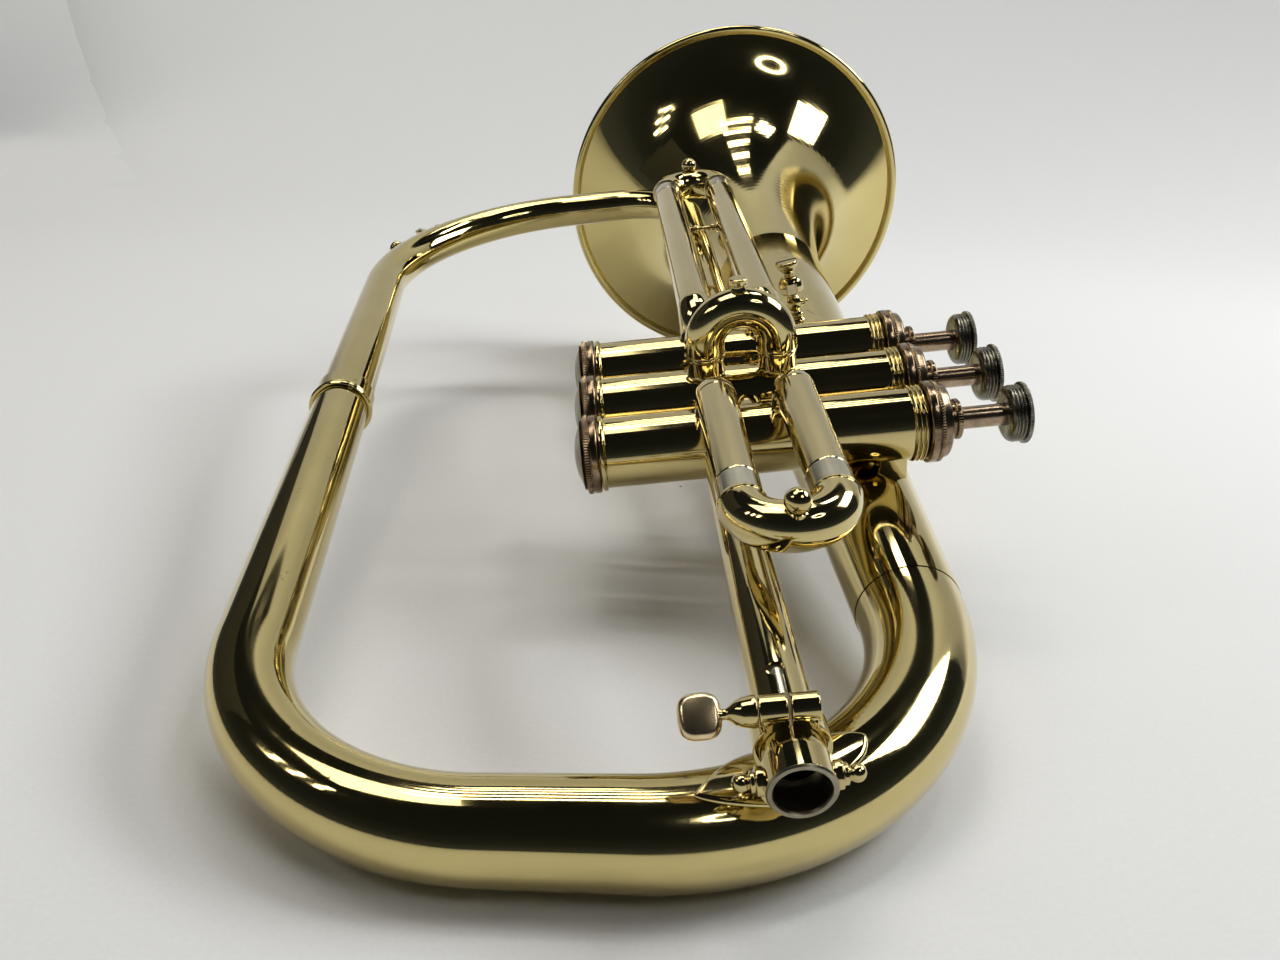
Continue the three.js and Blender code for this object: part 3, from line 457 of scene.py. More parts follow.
def polished_brass(name, clean, dull, pits, rough):
    """Lacquered brass: near-mirror, with faint hand-polish streaks and small dark pits."""
    nodes = Nodes(name)
    cloud = nodes.noise(scale=28.0, detail=5.0)
    colour = nodes.mix(nodes.spread(cloud, 0.0, 1.0), clean, dull)
    specks = nodes.spread(nodes.noise(scale=520.0, detail=2.0), 0.0, 1.0, 0.70, 0.76)
    patches = nodes.spread(nodes.noise(scale=45.0, detail=2.0), 0.0, pits, 0.5, 0.62)
    pitted = nodes.times(specks, patches)
    nodes.set("Base Color", nodes.mix(pitted, colour, (0.10, 0.06, 0.03)))
    nodes.set("Metallic", 1.0)
    streaks = nodes.noise(scale=70.0, detail=6.0, vector=nodes.stretched((1.0, 0.12, 1.0)))
    nodes.set("Roughness", nodes.spread(streaks, *rough))
    ripple = nodes.noise(scale=16.0, detail=2.0)
    fine = nodes.bump(nodes.noise(scale=1500.0, detail=2.0), 0.02, 0.00002)
    nodes.set("Normal", nodes.bump(ripple, 0.10, 0.0004, Normal=fine))
    nodes.set("Coat Weight", 0.25)
    nodes.set("Coat Roughness", 0.04)
    return nodes.material


def worn_metal(name, bright, dark, rough, grain):
    """Bare metal that handling has darkened: brown and brighter in random patches."""
    nodes = Nodes(name)
    stain = nodes.noise(scale=grain, detail=6.0, roughness=0.65)
    nodes.set("Base Color", nodes.mix(nodes.spread(stain, 0.0, 1.0, 0.36, 0.66), dark, bright))
    nodes.set("Metallic", 1.0)
    nodes.set("Roughness", nodes.spread(stain, rough[1], rough[0]))
    nodes.set("Normal", nodes.bump(nodes.noise(scale=grain * 4, detail=3.0), 0.12, 0.00006))
    return nodes.material


def soft_material(name, light, dark, grain):
    nodes = Nodes(name)
    fibre = nodes.noise(scale=grain, detail=8.0, roughness=0.7)
    nodes.set("Base Color", nodes.mix(nodes.spread(fibre, 0.0, 1.0), dark, light))
    nodes.set("Roughness", 0.92)
    nodes.set("Normal", nodes.bump(fibre, 0.5, 0.0002))
    return nodes.material


# look: material, its clean and dull colours, how many pits, and the range of its roughness
BRASS_LOOKS = {
    "bell": ("brass_bell", (0.66, 0.55, 0.235), (0.60, 0.49, 0.20), 0.15, (0.045, 0.10)),
    "loop": ("brass_loop", (0.65, 0.54, 0.235), (0.57, 0.46, 0.195), 0.75, (0.045, 0.10)),
    "valve": ("brass_valve", (0.62, 0.51, 0.235), (0.54, 0.43, 0.19), 0.3, (0.045, 0.10)),
    "slide": ("brass_slide", (0.66, 0.55, 0.255), (0.60, 0.49, 0.22), 0.3, (0.045, 0.10)),
    "sleeve": ("sleeve_brass", (0.66, 0.555, 0.285), (0.59, 0.49, 0.25), 0.15, (0.06, 0.11)),
}

# look: slot, material, its bright and dark colours, the range of its roughness, and its grain
METAL_LOOKS = {
    "paddle": ("lacquered_brass", "paddle_brass", (0.92, 0.78, 0.50), (0.70, 0.50, 0.28), (0.2, 0.3), 120),
    "brown": ("tarnished_brass", "brown_brass", (0.4, 0.3, 0.185), (0.14, 0.095, 0.06), (0.12, 0.28), 260),
    "dull": ("tarnished_brass", "dull_brass", (0.36, 0.33, 0.24), (0.22, 0.19, 0.13), (0.25, 0.4), 90),
    "stem": ("tarnished_brass", "stem_brass", (0.50, 0.38, 0.26), (0.28, 0.20, 0.13), (0.14, 0.28), 260),
    "button": ("nickel_silver", "button_nickel", (0.3, 0.285, 0.23), (0.11, 0.1, 0.08), (0.16, 0.32), 260),
    "band": ("nickel_silver", "band_nickel", (0.68, 0.64, 0.50), (0.56, 0.52, 0.40), (0.14, 0.24), 90),
    "steel": ("steel", "spring_steel", (0.55, 0.55, 0.54), (0.35, 0.35, 0.34), (0.18, 0.42), 260),
}


def build_materials():
    """For each look, its material and the name of a material slot; the pieces are given only the material.
    """
    looks = {look: (polished_brass(*values), "lacquered_brass") for look, values in BRASS_LOOKS.items()}
    for look, (slot, *values) in METAL_LOOKS.items():
        looks[look] = (worn_metal(*values), slot)
    looks["felt"] = (soft_material("white_felt", (0.86, 0.83, 0.76), (0.66, 0.62, 0.54), 900.0), "felt")
    looks["cork"] = (soft_material("cork_pad", (0.52, 0.36, 0.21), (0.28, 0.17, 0.09), 700.0), "cork")
    return looks


# ------------------------------------------------------------------ mesh helpers


def around(count):
    return np.linspace(0, 2 * math.pi, count, endpoint=False)


def unit(vector):
    return np.asarray(vector, float) / np.linalg.norm(vector)


def rounded(outline, size=0.25, steps=3):
    """The outline with each corner turned into a small curve; points on the axis stay."""
    points = [np.array(p, float) for p in outline]
    on_axis = points[0][1] == 0 and points[-1][1] == 0
    done = []
    for i, here in enumerate(points):
        before, after = points[i - 1] - here, points[(i + 1) % len(points)] - here
        reach = min(size, 0.45 * np.linalg.norm(before), 0.45 * np.linalg.norm(after))
        ends = on_axis and i in (0, len(points) - 1)
        straight = unit(before) @ unit(after) <= -0.94
        if ends or straight or reach < 0.02:
            done.append(here)
            continue
        start, stop = here + unit(before) * reach, here + unit(after) * reach
        for t in np.linspace(0, 1, steps + 1):
            done.append((1 - t) ** 2 * start + 2 * t * (1 - t) * here + t**2 * stop)
    return done


LONG_SPAN = 1.6
SUPPORT = 0.12


def supported(outline):
    """The outline with a point close to each end of every long span, so that smooth shading
    stays true along it."""
    done = []
    for here, after in zip(outline, np.roll(outline, -1, axis=0)):
        done.append(here)
        span = np.linalg.norm(after - here)
        if span > LONG_SPAN and min(here[1], after[1]) > 0:
            done += [here + (after - here) * SUPPORT / span, after - (after - here) * SUPPORT / span]
    return np.array(done)


def lathe(outline, sides=64, ripple=None):
    """Points and faces of an (along, radius) outline turned about +Y.
    ripple = (from, to, count, depth) cuts `count` flutes across that stretch."""
    outline = supported(np.array([tuple(p) for p in outline], float))
    closed = outline[0][1] > 0 or outline[-1][1] > 0
    angle = around(sides)
    radius = np.repeat(outline[:, 1:2], sides, axis=1)
    if ripple:
        low, high, count, depth = ripple
        inside = (outline[:, 0] >= low) & (outline[:, 0] <= high)
        radius[inside] -= depth * (0.5 - 0.5 * np.cos(count * angle))
    x, z = radius * np.cos(angle), radius * np.sin(angle)
    y = np.repeat(outline[:, 0:1], sides, axis=1)
    points = np.stack((x, y, z), axis=2).reshape(-1, 3)
    return points, quads(len(outline), sides, closed)


def aimed(solid, axis, at=(0.0, 0.0, 0.0)):
    """A solid drawn along +Y, turned to `axis` and moved to `at`."""
    points, faces = solid
    turn = Vector(ALONG).rotation_difference(Vector(axis)).to_matrix()
    return points @ np.array(turn).T + np.array(at), faces


def joined(*solids):
    points, faces = [], []
    for more_points, more_faces in solids:
        start = sum(len(p) for p in points)
        points.append(more_points)
        faces += [tuple(start + v for v in face) for face in more_faces]
    return np.concatenate(points), faces


def piece(name, solid, look, body="horn", node=None):
    """A shaded object in the world's metres from a solid in the horn's millimetres."""
    points, faces = solid
    matrix = np.array(HORN)
    world = points @ matrix[:3, :3].T + matrix[:3, 3]
    mesh = bpy.data.meshes.new(name)
    mesh.from_pydata(world.tolist(), [], faces)
    work = bmesh.new()
    work.from_mesh(mesh)
    bmesh.ops.remove_doubles(work, verts=work.verts, dist=2e-7)
    bmesh.ops.recalc_face_normals(work, faces=work.faces)
    work.to_mesh(mesh)
    work.free()
    mesh.shade_smooth()
    mesh.set_sharp_from_angle(angle=SHARP)
    thing = linked(name, mesh)
    material, slot = LOOKS[look]
    mesh.materials.append(material)
    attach(thing, body)
    if node:
        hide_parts(node)
    return thing


def turned(name, outline, look, axis, at, sides=64, ripple=None, **how):
    """A piece lathed about the axis through `at`."""
    return piece(name, aimed(lathe(outline, sides, ripple), axis, at), look, **how)


class Path:
    """Straight runs joined by circular bends."""

    def __init__(self, corners, radii):
        corners = [np.array(c, float) for c in corners]
        self.parts = []
        here = corners[0]
        for corner, after, radius in zip(corners[1:-1], corners[2:], radii):
            ahead, onward = unit(corner - here), unit(after - corner)
            angle = math.acos(float(np.clip(ahead @ onward, -1, 1)))
            inset = radius * math.tan(angle / 2)
            start = corner - ahead * inset
            self.parts.append((np.linalg.norm(start - here), here, ahead, None, 0.0))
            inward = unit(onward - ahead * (onward @ ahead))
            self.parts.append((radius * angle, start, ahead, inward, radius))
            here = corner + onward * inset
        self.parts.append((np.linalg.norm(corners[-1] - here), here, unit(corners[-1] - here), None, 0.0))
        self.length = sum(part[0] for part in self.parts)

    def station(self, n, share=0.0):
        """Distance along the path of a share of its nth part."""
        return sum(part[0] for part in self.parts[:n]) + share * self.parts[n][0]

    def at(self, s):
        """The point at distance s, and the direction there."""
        for length, start, ahead, inward, radius in self.parts:
            if s <= length or length is self.parts[-1][0]:
                break
            s -= length
        if inward is None:
            return start + ahead * s, ahead
        turn = s / radius
        centre = start + inward * radius
        point = centre - inward * radius * math.cos(turn) + ahead * radius * math.sin(turn)
        return point, ahead * math.cos(turn) + inward * math.sin(turn)

    def stations(self, low, high, step):
        """Distances from low to high: close together in bends, only the ends of straights."""
        found = [low]
        start = 0.0
        for length, _, _, inward, _ in self.parts:
            count = 1 if inward is None else max(2, math.ceil(length / step))
            for s in np.linspace(start, start + length, count + 1)[1:]:
                if low + 0.2 < s < high - 0.2:
                    found.append(float(s))
            start += length
        return found + [high]


def bent(solid, path, up=OUT):
    """A solid drawn along +Y from 0, laid along a path, its Z kept near `up`."""
    points, faces = solid
    done = np.empty_like(points)
    stations, group = np.unique(np.round(points[:, 1], 6), return_inverse=True)
    for n, s in enumerate(stations):
        here, ahead = path.at(s)
        top = unit(up - ahead * (up @ ahead))
        side = np.cross(ahead, top)
        rows = group.ravel() == n
        done[rows] = here + points[rows, 0:1] * side + points[rows, 2:3] * top
    return done, faces


def shifted(start, outline):
    """An outline whose distances along the axis are counted from `start`."""
    return [(start + along, radius) for along, radius in outline]


def rod(low, high, radius, soften=0.2):
    return rounded(((low, 0), (low, radius), (high, radius), (high, 0)), soften)


def ball(centre, radius):
    angles = np.linspace(-math.pi / 2, math.pi / 2, 19)
    points = [(centre + radius * math.sin(a), radius * math.cos(a)) for a in angles]
    points[0], points[-1] = (centre - radius, 0), (centre + radius, 0)
    return points


def slab(outline, low, high, soften=0.4, steps=3):
    """A flat plate with an XY outline from z = low to high, with softened edges."""
    outline = np.array(outline, float)
    centre = outline.mean(axis=0)
    soften = min(soften, (high - low) / 2)
    rings = []
    for turn in np.linspace(0, math.pi / 2, steps + 1):
        rings.append((low + soften * (1 - math.cos(turn)), soften * (1 - math.sin(turn))))
    rings += [(high + low - z, inset) for z, inset in reversed(rings)]
    points, count = [], len(outline)
    reach = np.linalg.norm(outline - centre, axis=1, keepdims=True)
    for z, inset in rings:
        ring = outline - (outline - centre) / reach * inset
        points += [(x, y, z) for x, y in ring]
    faces = quads(len(rings), count)
    faces.append(tuple(reversed(range(count))))
    faces.append(tuple(range((len(rings) - 1) * count, len(rings) * count)))
    return np.array(points), faces


def block(low, high, soften=0.3):
    """A box between two corners with softened edges."""
    (x0, y0, z0), (x1, y1, z1) = low, high
    outline = []
    for cx, cy, start in ((x1, y1, 0), (x0, y1, 90), (x0, y0, 180), (x1, y0, 270)):
        inner_x = cx + (-soften if cx == x1 else soften)
        inner_y = cy + (-soften if cy == y1 else soften)
        for a in np.radians((start, start + 30, start + 60, start + 90)):
            outline.append((inner_x + soften * math.cos(a), inner_y + soften * math.sin(a)))
    return slab(outline, z0, z1, soften)


def carve(target, *cutters):
    """Cuts solids in the horn's millimetres out of a piece, for good."""
    for n, cutter in enumerate(cutters):
        tool = piece(f"cutter_{n}", cutter, "bell")
        change = target.modifiers.new("cut", "BOOLEAN")
        change.object = tool
        change.operation = "DIFFERENCE"
        change.solver = "EXACT"
        ready = target.evaluated_get(bpy.context.evaluated_depsgraph_get())
        mesh = bpy.data.meshes.new_from_object(ready)
        target.modifiers.clear()
        target.data = mesh
        bpy.data.objects.remove(tool)
    target.data.set_sharp_from_angle(angle=SHARP)


def thin_leaf(rows, columns, place):
    """A thin closed sheet: place(layer, u, v) is a point of its lower face (layer 0) or upper
    face (layer 1), with u and v from -1 to 1."""
    us, vs = range(rows + 1), range(columns + 1)
    spots = [(layer, 2 * i / rows - 1, 2 * k / columns - 1) for layer in (0, 1) for i in us for k in vs]

    def index(layer, i, k):
        return (layer * (rows + 1) + i) * (columns + 1) + k

    faces = []
    for i in us[:-1]:
        for k in vs[:-1]:
            for layer in (0, 1):
                a, b = index(layer, i, k), index(layer, i + 1, k)
                faces.append((a, b, b + 1, a + 1))
        for k in (0, columns):
            faces.append((index(0, i, k), index(0, i + 1, k), index(1, i + 1, k), index(1, i, k)))
    for k in vs[:-1]:
        for i in (0, rows):
            faces.append((index(0, i, k), index(0, i, k + 1), index(1, i, k + 1), index(1, i, k)))
    return np.array([place(*spot) for spot in spots]), faces


# ------------------------------------------------------------------ bell and loop


def bell_radius(y):
    edge = RIM_RADIUS - 2 * BEAD_RADIUS - GAP
    throat_y = SHEET_EDGE_Y - FLARE_LENGTH

    def flare(back):
        return edge * (FLARE_SOFTNESS / (FLARE_SOFTNESS + back)) ** FLARE_POWER

    if y >= throat_y:
        return flare(SHEET_EDGE_Y - y)
    stations = [*BRANCH_CONE, (throat_y, flare(FLARE_LENGTH))]
    return float(np.interp(y, *zip(*stations)))


def build_bell():
    back = FLARE_LENGTH * np.linspace(0, 1, 70) ** 2.2
    ys = [SHEET_EDGE_Y - d for d in back] + [150.0, 130.0, 113.0, 60.0, 0.0, BELL_TAIL_Y]
    outer = [(y, bell_radius(y)) for y in ys]
    inner = []
    for y in reversed(ys):
        tilt = math.atan(bell_radius(y + 0.05) * 10 - bell_radius(y - 0.05) * 10)
        inner.append((y + SHEET * math.sin(tilt), bell_radius(y) - SHEET * math.cos(tilt)))
    piece("bell_sheet", lathe(outer + inner, 192), "bell", node="bell")
    bead = []
    for a in around(24):
        reach = BEAD_RADIUS + (GAP if math.cos(a) < 0 else 0) * abs(math.cos(a))
        out = RIM_RADIUS - FIT - BEAD_RADIUS + reach * math.cos(a)
        bead.append((RIM_Y - FIT - BEAD_RADIUS + BEAD_RADIUS * math.sin(a), out))
    piece("bell_rim_bead", lathe(bead, 192), "bell", node="bell_rim_wire")


LOOP = Path(
    (
        (CROOK_X, 2 * VALVE_PITCH + CASING_RADIUS + GAP, VALVE_Z + 2 * VALVE_RISE),
        (CROOK_X, FRONT_Y, LOOP_Z), (LEFT_X_FRONT, FRONT_Y, LOOP_Z), (LEFT_X_REAR, REAR_Y, LOOP_Z),
        (0, REAR_Y, 0), (0, BELL_TAIL_Y - GAP, 0),
    ),
    LOOP_BENDS,
)
FERRULE_AT = LOOP.station(4) + (LOOP.at(LOOP.station(4))[0][1] - FERRULE_Y)
LOOP_RADII = (
    (0.0, 5.2), (LOOP.station(1, 0.5), 6.0), (LOOP.station(3), 6.6), (LOOP.station(4), 7.3),
    (FERRULE_AT, 8.0), (LOOP.station(5, 0.5), 8.9), (LOOP.station(6, 0.5), 10.1),
    (LOOP.station(7, 0.5), 11.2), (LOOP.length, 12.3),
)


def loop_radius(s):
    return float(np.interp(s, *zip(*LOOP_RADII))) - FIT


def loop_tube(low, high):
    outer = [(s, loop_radius(s)) for s in LOOP.stations(low, high, 2.0)]
    inner = [(s, radius - SHEET) for s, radius in reversed(outer)]
    return bent(lathe(outer + inner, 96), LOOP)


def build_loop():
    split = FERRULE_AT + FERRULE_LENGTH / 2
    piece("front_crook_tube", loop_tube(0, split - 0.05), "loop", node="front_crook")
    piece("rear_bow_tube", loop_tube(split + 0.05, LOOP.length), "loop", node="rear_bow")
    start, end = FERRULE_AT, FERRULE_AT + FERRULE_LENGTH
    thin, thick = loop_radius(start), loop_radius(end)
    sleeve = [(start, thin + 0.02), (start, thin + 0.55), (start + 0.6, thin + 0.75)]
    sleeve += [(end - 2.6, thick + 0.75), (end - 2.3, thick + 0.45), (end - 1.9, thick + 0.45)]
    sleeve += [(end - 1.7, thick + 1.0), (end - 0.8, thick + 1.3), (end, thick + 0.9), (end, thick + 0.02)]
    ring = bent(lathe(rounded(sleeve, 0.2), 96), LOOP)
    piece("branch_ferrule_ring", ring, "loop", node="branch_ferrule")


# ------------------------------------------------------------------ valves

RING_STARTS = (10.0, 11.15, 12.3)
CASING_ENDS = (-67.6, 13.5)


def build_casing(i):
    r = CASING_RADIUS
    low, high = CASING_ENDS
    outline = [(low, CASING_BORE), (low, r + 0.55), (low + 0.4, r + 0.75), (low + 1.1, r + 0.7)]
    outline += [(low + 1.4, r + 0.1), (low + 1.6, r)]
    for start in RING_STARTS:
        outline += [(start, r), (start + 0.15, r + 0.45), (start + 0.5, r + 0.72)]
        outline += [(start + 0.85, r + 0.45), (start + 1.0, r)]
    outline += [(high, r), (high, CASING_BORE)]
    node = f"valve_casing_{i + 1}"
    turned(f"casing_{i + 1}", rounded(outline, 0.2), "valve", ACROSS, valve_centre(i), 96, node=node)


def build_caps(i):
    at = valve_centre(i)
    bore = CASING_BORE - GAP
    dome = [(-74.15 + 2.55 * (r / 9.3) ** 2.2, r) for r in (0, 1.5, 3, 4.5, 6, 7.5, 8.6, 9.3)]
    bottom = dome + [
        (-71.4, 9.7), (-71.3, 10.05), (-70.3, 10.05), (-70.15, 9.75), (-69.9, 9.75), (-69.75, 10.0),
        (-68.3, 10.0), (-67.95, 9.7), (-67.95, bore), (-64.1, bore), (-64.1, bore - 1.2),
        (CAP_FLOOR, bore - 1.2), (CAP_FLOOR, 0),
    ]
    bottom = rounded(bottom, 0.12, 2)
    flutes = (-71.31, -70.29, 96, 0.2)
    name = f"bottom_cap_turned_{i + 1}"
    turned(name, bottom, "brown", ACROSS, at, 288, flutes, node=f"bottom_cap_{i + 1}")

    shell = [(along - 0.04, r) for along, r in dome[:-1]] + [(-72.2, 9.05), (-72.2, 8.4), (-73.0, 0)]
    turned(f"bottom_cap_face_{i + 1}", shell, "dull", ACROSS, at, 96)
    hole = STEM_RADIUS + 0.15
    top = [
        (9.95, bore - 1.2), (9.95, bore), (13.8, bore), (13.8, 10.0), (14.1, 10.35), (15.8, 10.35),
        (16.0, 9.9), (16.2, 9.9), (16.3, 10.3), (17.1, 10.3), (17.3, 9.6), (18.9, 9.2), (19.4, 8.6),
        (19.4, 5.0), (19.9, 4.7), (21.2, 4.75), (21.5, 4.6), (21.7, 5.05), (22.8, 5.05), (23.0, 4.7),
        (23.0, hole), (17.4, hole), (17.4, bore - 1.2),
    ]
    top = rounded(top, 0.15, 2)
    flutes = (16.31, 17.09, 96, 0.16)
    turned(f"top_cap_turned_{i + 1}", top, "brown", ACROSS, at, 288, flutes, node=f"top_cap_{i + 1}")
    knurl = [(21.75, 4.95), (21.75, 5.1), (22.75, 5.1), (22.75, 4.95)]
    turned(f"stem_guide_knurl_{i + 1}", knurl, "brown", ACROSS, at, 192, (21.7, 22.8, 48, 0.16))


def build_piston(i):
    at = valve_centre(i)
    body = f"valve_{i + 1}"
    skin = CASING_BORE - GAP
    wall = skin - 1.4
    shell = [(PISTON_FOOT, skin), (9.4, skin), (9.4, wall), (-11, wall)]
    shell += [(-11, 0), (-43, 0), (-43, wall), (PISTON_FOOT, wall)]
    turned(f"piston_block_{i + 1}", shell, "band", ACROSS, at, 48, body=body, node=f"piston_{i + 1}")
    stem = [(9.7, 0), (9.7, wall), (11.1, wall), (11.1, 3.6), (13.4, 3.6), (13.4, 5.4), (14.8, 5.4)]
    stem += [(14.8, STEM_RADIUS), (BUTTON_FACE - 2.1, STEM_RADIUS), (BUTTON_FACE - 2.1, 0)]
    stem = rounded(stem, 0.2)
    turned(f"stem_rod_{i + 1}", stem, "stem", ACROSS, at, body=body, node=f"stem_{i + 1}")
    felt = rounded([(15.1, 3.1), (15.1, 6.0), (17.1, 6.0), (17.1, 3.1)], 0.4)
    turned(f"felt_washer_{i + 1}", felt, "felt", ACROSS, at, 48, body=body, node=f"stem_felt_{i + 1}")


def build_button(i):
    face = BUTTON_FACE
    skirt = face - BUTTON_DEPTH
    bowl = [(skirt + 1.5 * (1 - math.cos(a)), 5.0 + 2.1 * math.sin(a)) for a in np.linspace(0, 1.5, 7)]
    ridges = []
    for centre in (skirt + 1.75, skirt + 2.65, skirt + 3.55):
        ridges += [(centre - 0.42, 6.8), (centre - 0.15, 7.2), (centre + 0.15, 7.2), (centre + 0.42, 6.8)]
    outline = [
        (skirt + 0.1, STEM_RADIUS + 0.08), *bowl, *ridges, (skirt + 4.05, 7.3), (skirt + 4.2, 7.78),
        (face - 0.25, 7.78), (face, 7.5), (face, 6.9), (face - 0.3, 5.6), (face - 0.45, 3.0),
        (face - 0.5, 0), (face - 2.0, 0), (face - 2.0, STEM_RADIUS + 0.08),
    ]
    outline = rounded(outline, 0.12, 2)
    flutes = (skirt + 4.19, face - 0.2, 96, 0.14)
    name, body, node = f"button_drum_{i + 1}", f"valve_{i + 1}", f"finger_button_{i + 1}"
    turned(name, outline, "button", ACROSS, valve_centre(i), 288, flutes, body=body, node=node)


def build_spring(i):
    wire, turns, ring = 0.5, 5, 10
    steps = turns * 36
    low, high = CAP_FLOOR + wire + GAP, PISTON_FOOT - wire - GAP
    points = []
    for n in range(steps + 1):
        t = n / steps
        a = 2 * math.pi * turns * t
        outward = np.array((0, math.cos(a), math.sin(a)))
        centre = (low + (high - low) * t) * ACROSS + SPRING_RADIUS * outward
        for k in range(ring):
            b = 2 * math.pi * k / ring
            points.append(centre + wire * (math.cos(b) * outward + math.sin(b) * ACROSS))
    faces = [tuple(range(ring)), tuple(reversed(range(steps * ring, (steps + 1) * ring)))]
    solid = (np.array(points) + valve_centre(i), faces + quads(steps + 1, ring))
    coil = piece(f"return_spring_{i + 1}", solid, "steel", "horn", f"valve_spring_{i + 1}")
    axis = joint(f"valve_{i + 1}_press")["axis"]
    tuple(axis)
    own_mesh(coil)


def build_valve_links():
    """The short tubes that join each casing to the next."""
    for i in (0, 1):
        length = VALVE_PITCH - 15.0
        outline = [(0, 3.9), (0, 4.9), (length, 4.9), (length, 3.9)]
        start = valve_centre(i) + np.array((SLIDE_X - 6 * i, 8.3, VALVE_RISE / 2))
        node = f"valve_link_{i + 1}"
        turned(f"valve_link_tube_{i + 1}", outline, "valve", ALONG, start, 48, node=node)


# ------------------------------------------------------------------ tuning slides

SLIDE_XS = (SLIDE_X - SLIDE_SPACING / 2, SLIDE_X + SLIDE_SPACING / 2)
SIDE_NAMES = ("left", "right")


def slide_z(i):
    return VALVE_Z + i * VALVE_RISE + SLIDE_LIFT


def tube_foot(i):
    """Where a tube standing on a casing starts, just inside the casing wall."""
    return VALVE_Z + i * VALVE_RISE + math.sqrt(CASING_RADIUS**2 - SLIDE_RADIUS**2) - 0.3


def build_sleeves(number, i, mouth):
    for x, side in zip(SLIDE_XS, SIDE_NAMES):
        y = i * VALVE_PITCH
        path = Path(((x, y, tube_foot(i)), (x, y, slide_z(i)), (x, mouth, slide_z(i))), (KNUCKLE_RADIUS,))
        end = path.length
        seam = path.station(2) + 0.4
        outer = [(s, SLIDE_RADIUS + 0.06) for s in path.stations(0, seam, 0.7)]
        outer += [(seam + 0.15, SLIDE_RADIUS)]
        outer += [(end - 0.3, SLIDE_RADIUS), (end, SLIDE_RADIUS - 0.15)]
        inner = [(s, SLIDE_BORE) for s in path.stations(0, end, 1.5)]
        solid = bent(lathe(outer + inner[::-1], 72), path, ACROSS)
        name = f"slide_{number}_sleeve_{side}"
        piece(f"{name}_tube", solid, "sleeve", node=name)
        build_collar(f"{name}_collar", x, y, i)


def build_collar(name, x, y, i):
    """The flange where a slide tube is soldered onto a casing."""
    top = tube_foot(i) + 1.6
    outline = [(top - 0.5, SLIDE_RADIUS - 0.05), (top - 0.5, SLIDE_RADIUS + 0.4)]
    outline += [(top + 0.1, SLIDE_RADIUS + 0.3), (top + 0.3, SLIDE_RADIUS - 0.05)]
    turned(name, rounded(outline, 0.15), "slide", OUT, (x, y, 0), 72)


def build_bow(number, path, up, insert, band):
    """A slide's U bow with a ring at each end, and its two legs with their nickel ferrules."""
    end = path.length
    low = insert + band
    rim = BOW_RADIUS
    half = [(0.05, SLIDE_RADIUS - 0.1), (0.2, rim + 0.1), (0.9, rim + 0.18), (1.1, rim - 0.08)]
    half += [(1.3, rim - 0.08), (1.5, rim)]
    half = rounded(shifted(low, half), 0.08)
    middle = [(s, BOW_RADIUS) for s in path.stations(low + 1.8, end - low - 1.8, 0.7)]
    outer = half + middle + [(end - s, r) for s, r in reversed(half)]
    inner = [(s, LEG_BORE) for s in path.stations(low + 0.05, end - low - 0.05, 1.2)]
    solid = bent(lathe(outer + inner[::-1], 72), path, up)
    body = f"slide_{number}"
    piece(f"slide_{number}_bow_tube", solid, "slide", body, f"slide_{number}_bow")
    for side, flip in zip(SIDE_NAMES, (False, True)):
        leg = [(0, LEG_BORE), (0, LEG_RADIUS), (insert + 0.12, LEG_RADIUS)]
        leg += [(insert + 0.12, SLIDE_RADIUS - 0.08), (insert + 0.3, SLIDE_RADIUS)]
        leg += [(low, SLIDE_RADIUS), (low, LEG_BORE)]
        leg = [(end - s, r) for s, r in leg] if flip else leg
        piece(f"slide_{number}_leg_{side}", bent(lathe(leg, 72), path, up), "band", body)


def u_path(root, crest):
    """From the foot of a slide's left leg, over its crest, to the foot of its right leg. The
    feet and the crest are (y, z) pairs."""
    left, right = SLIDE_XS
    turn = SLIDE_SPACING / 2 - 0.05
    return Path(((left, *root), (left, *crest), (right, *crest), (right, *root)), (turn, turn))


def build_long_slide(number, i, sign, mouth, insert):
    build_sleeves(number, i, mouth)
    z = slide_z(i)
    crest = mouth + sign * (BAND + BOW_LEAD + SLIDE_SPACING / 2)
    build_bow(number, u_path((mouth - sign * insert, z), (crest, z)), OUT, insert, BAND)
    build_pull_ball(number, crest + sign * BALL_REACH, z + BALL_RISE)


def build_pull_ball(number, y, centre):
    skirt = centre - 2.3
    neck = [(skirt - 1.2, 0), (skirt - 1.2, 2.1), (skirt + 0.0, 2.0), (skirt + 0.25, 1.75)]
    round_part = [p for p in ball(centre, BALL_RADIUS - 0.03) if p[0] > skirt + 0.2]
    body = f"slide_{number}"
    name = f"{body}_pull"
    turned(f"{name}_ball", neck + round_part, "valve", OUT, (SLIDE_X, y, 0), body=body, node=name)


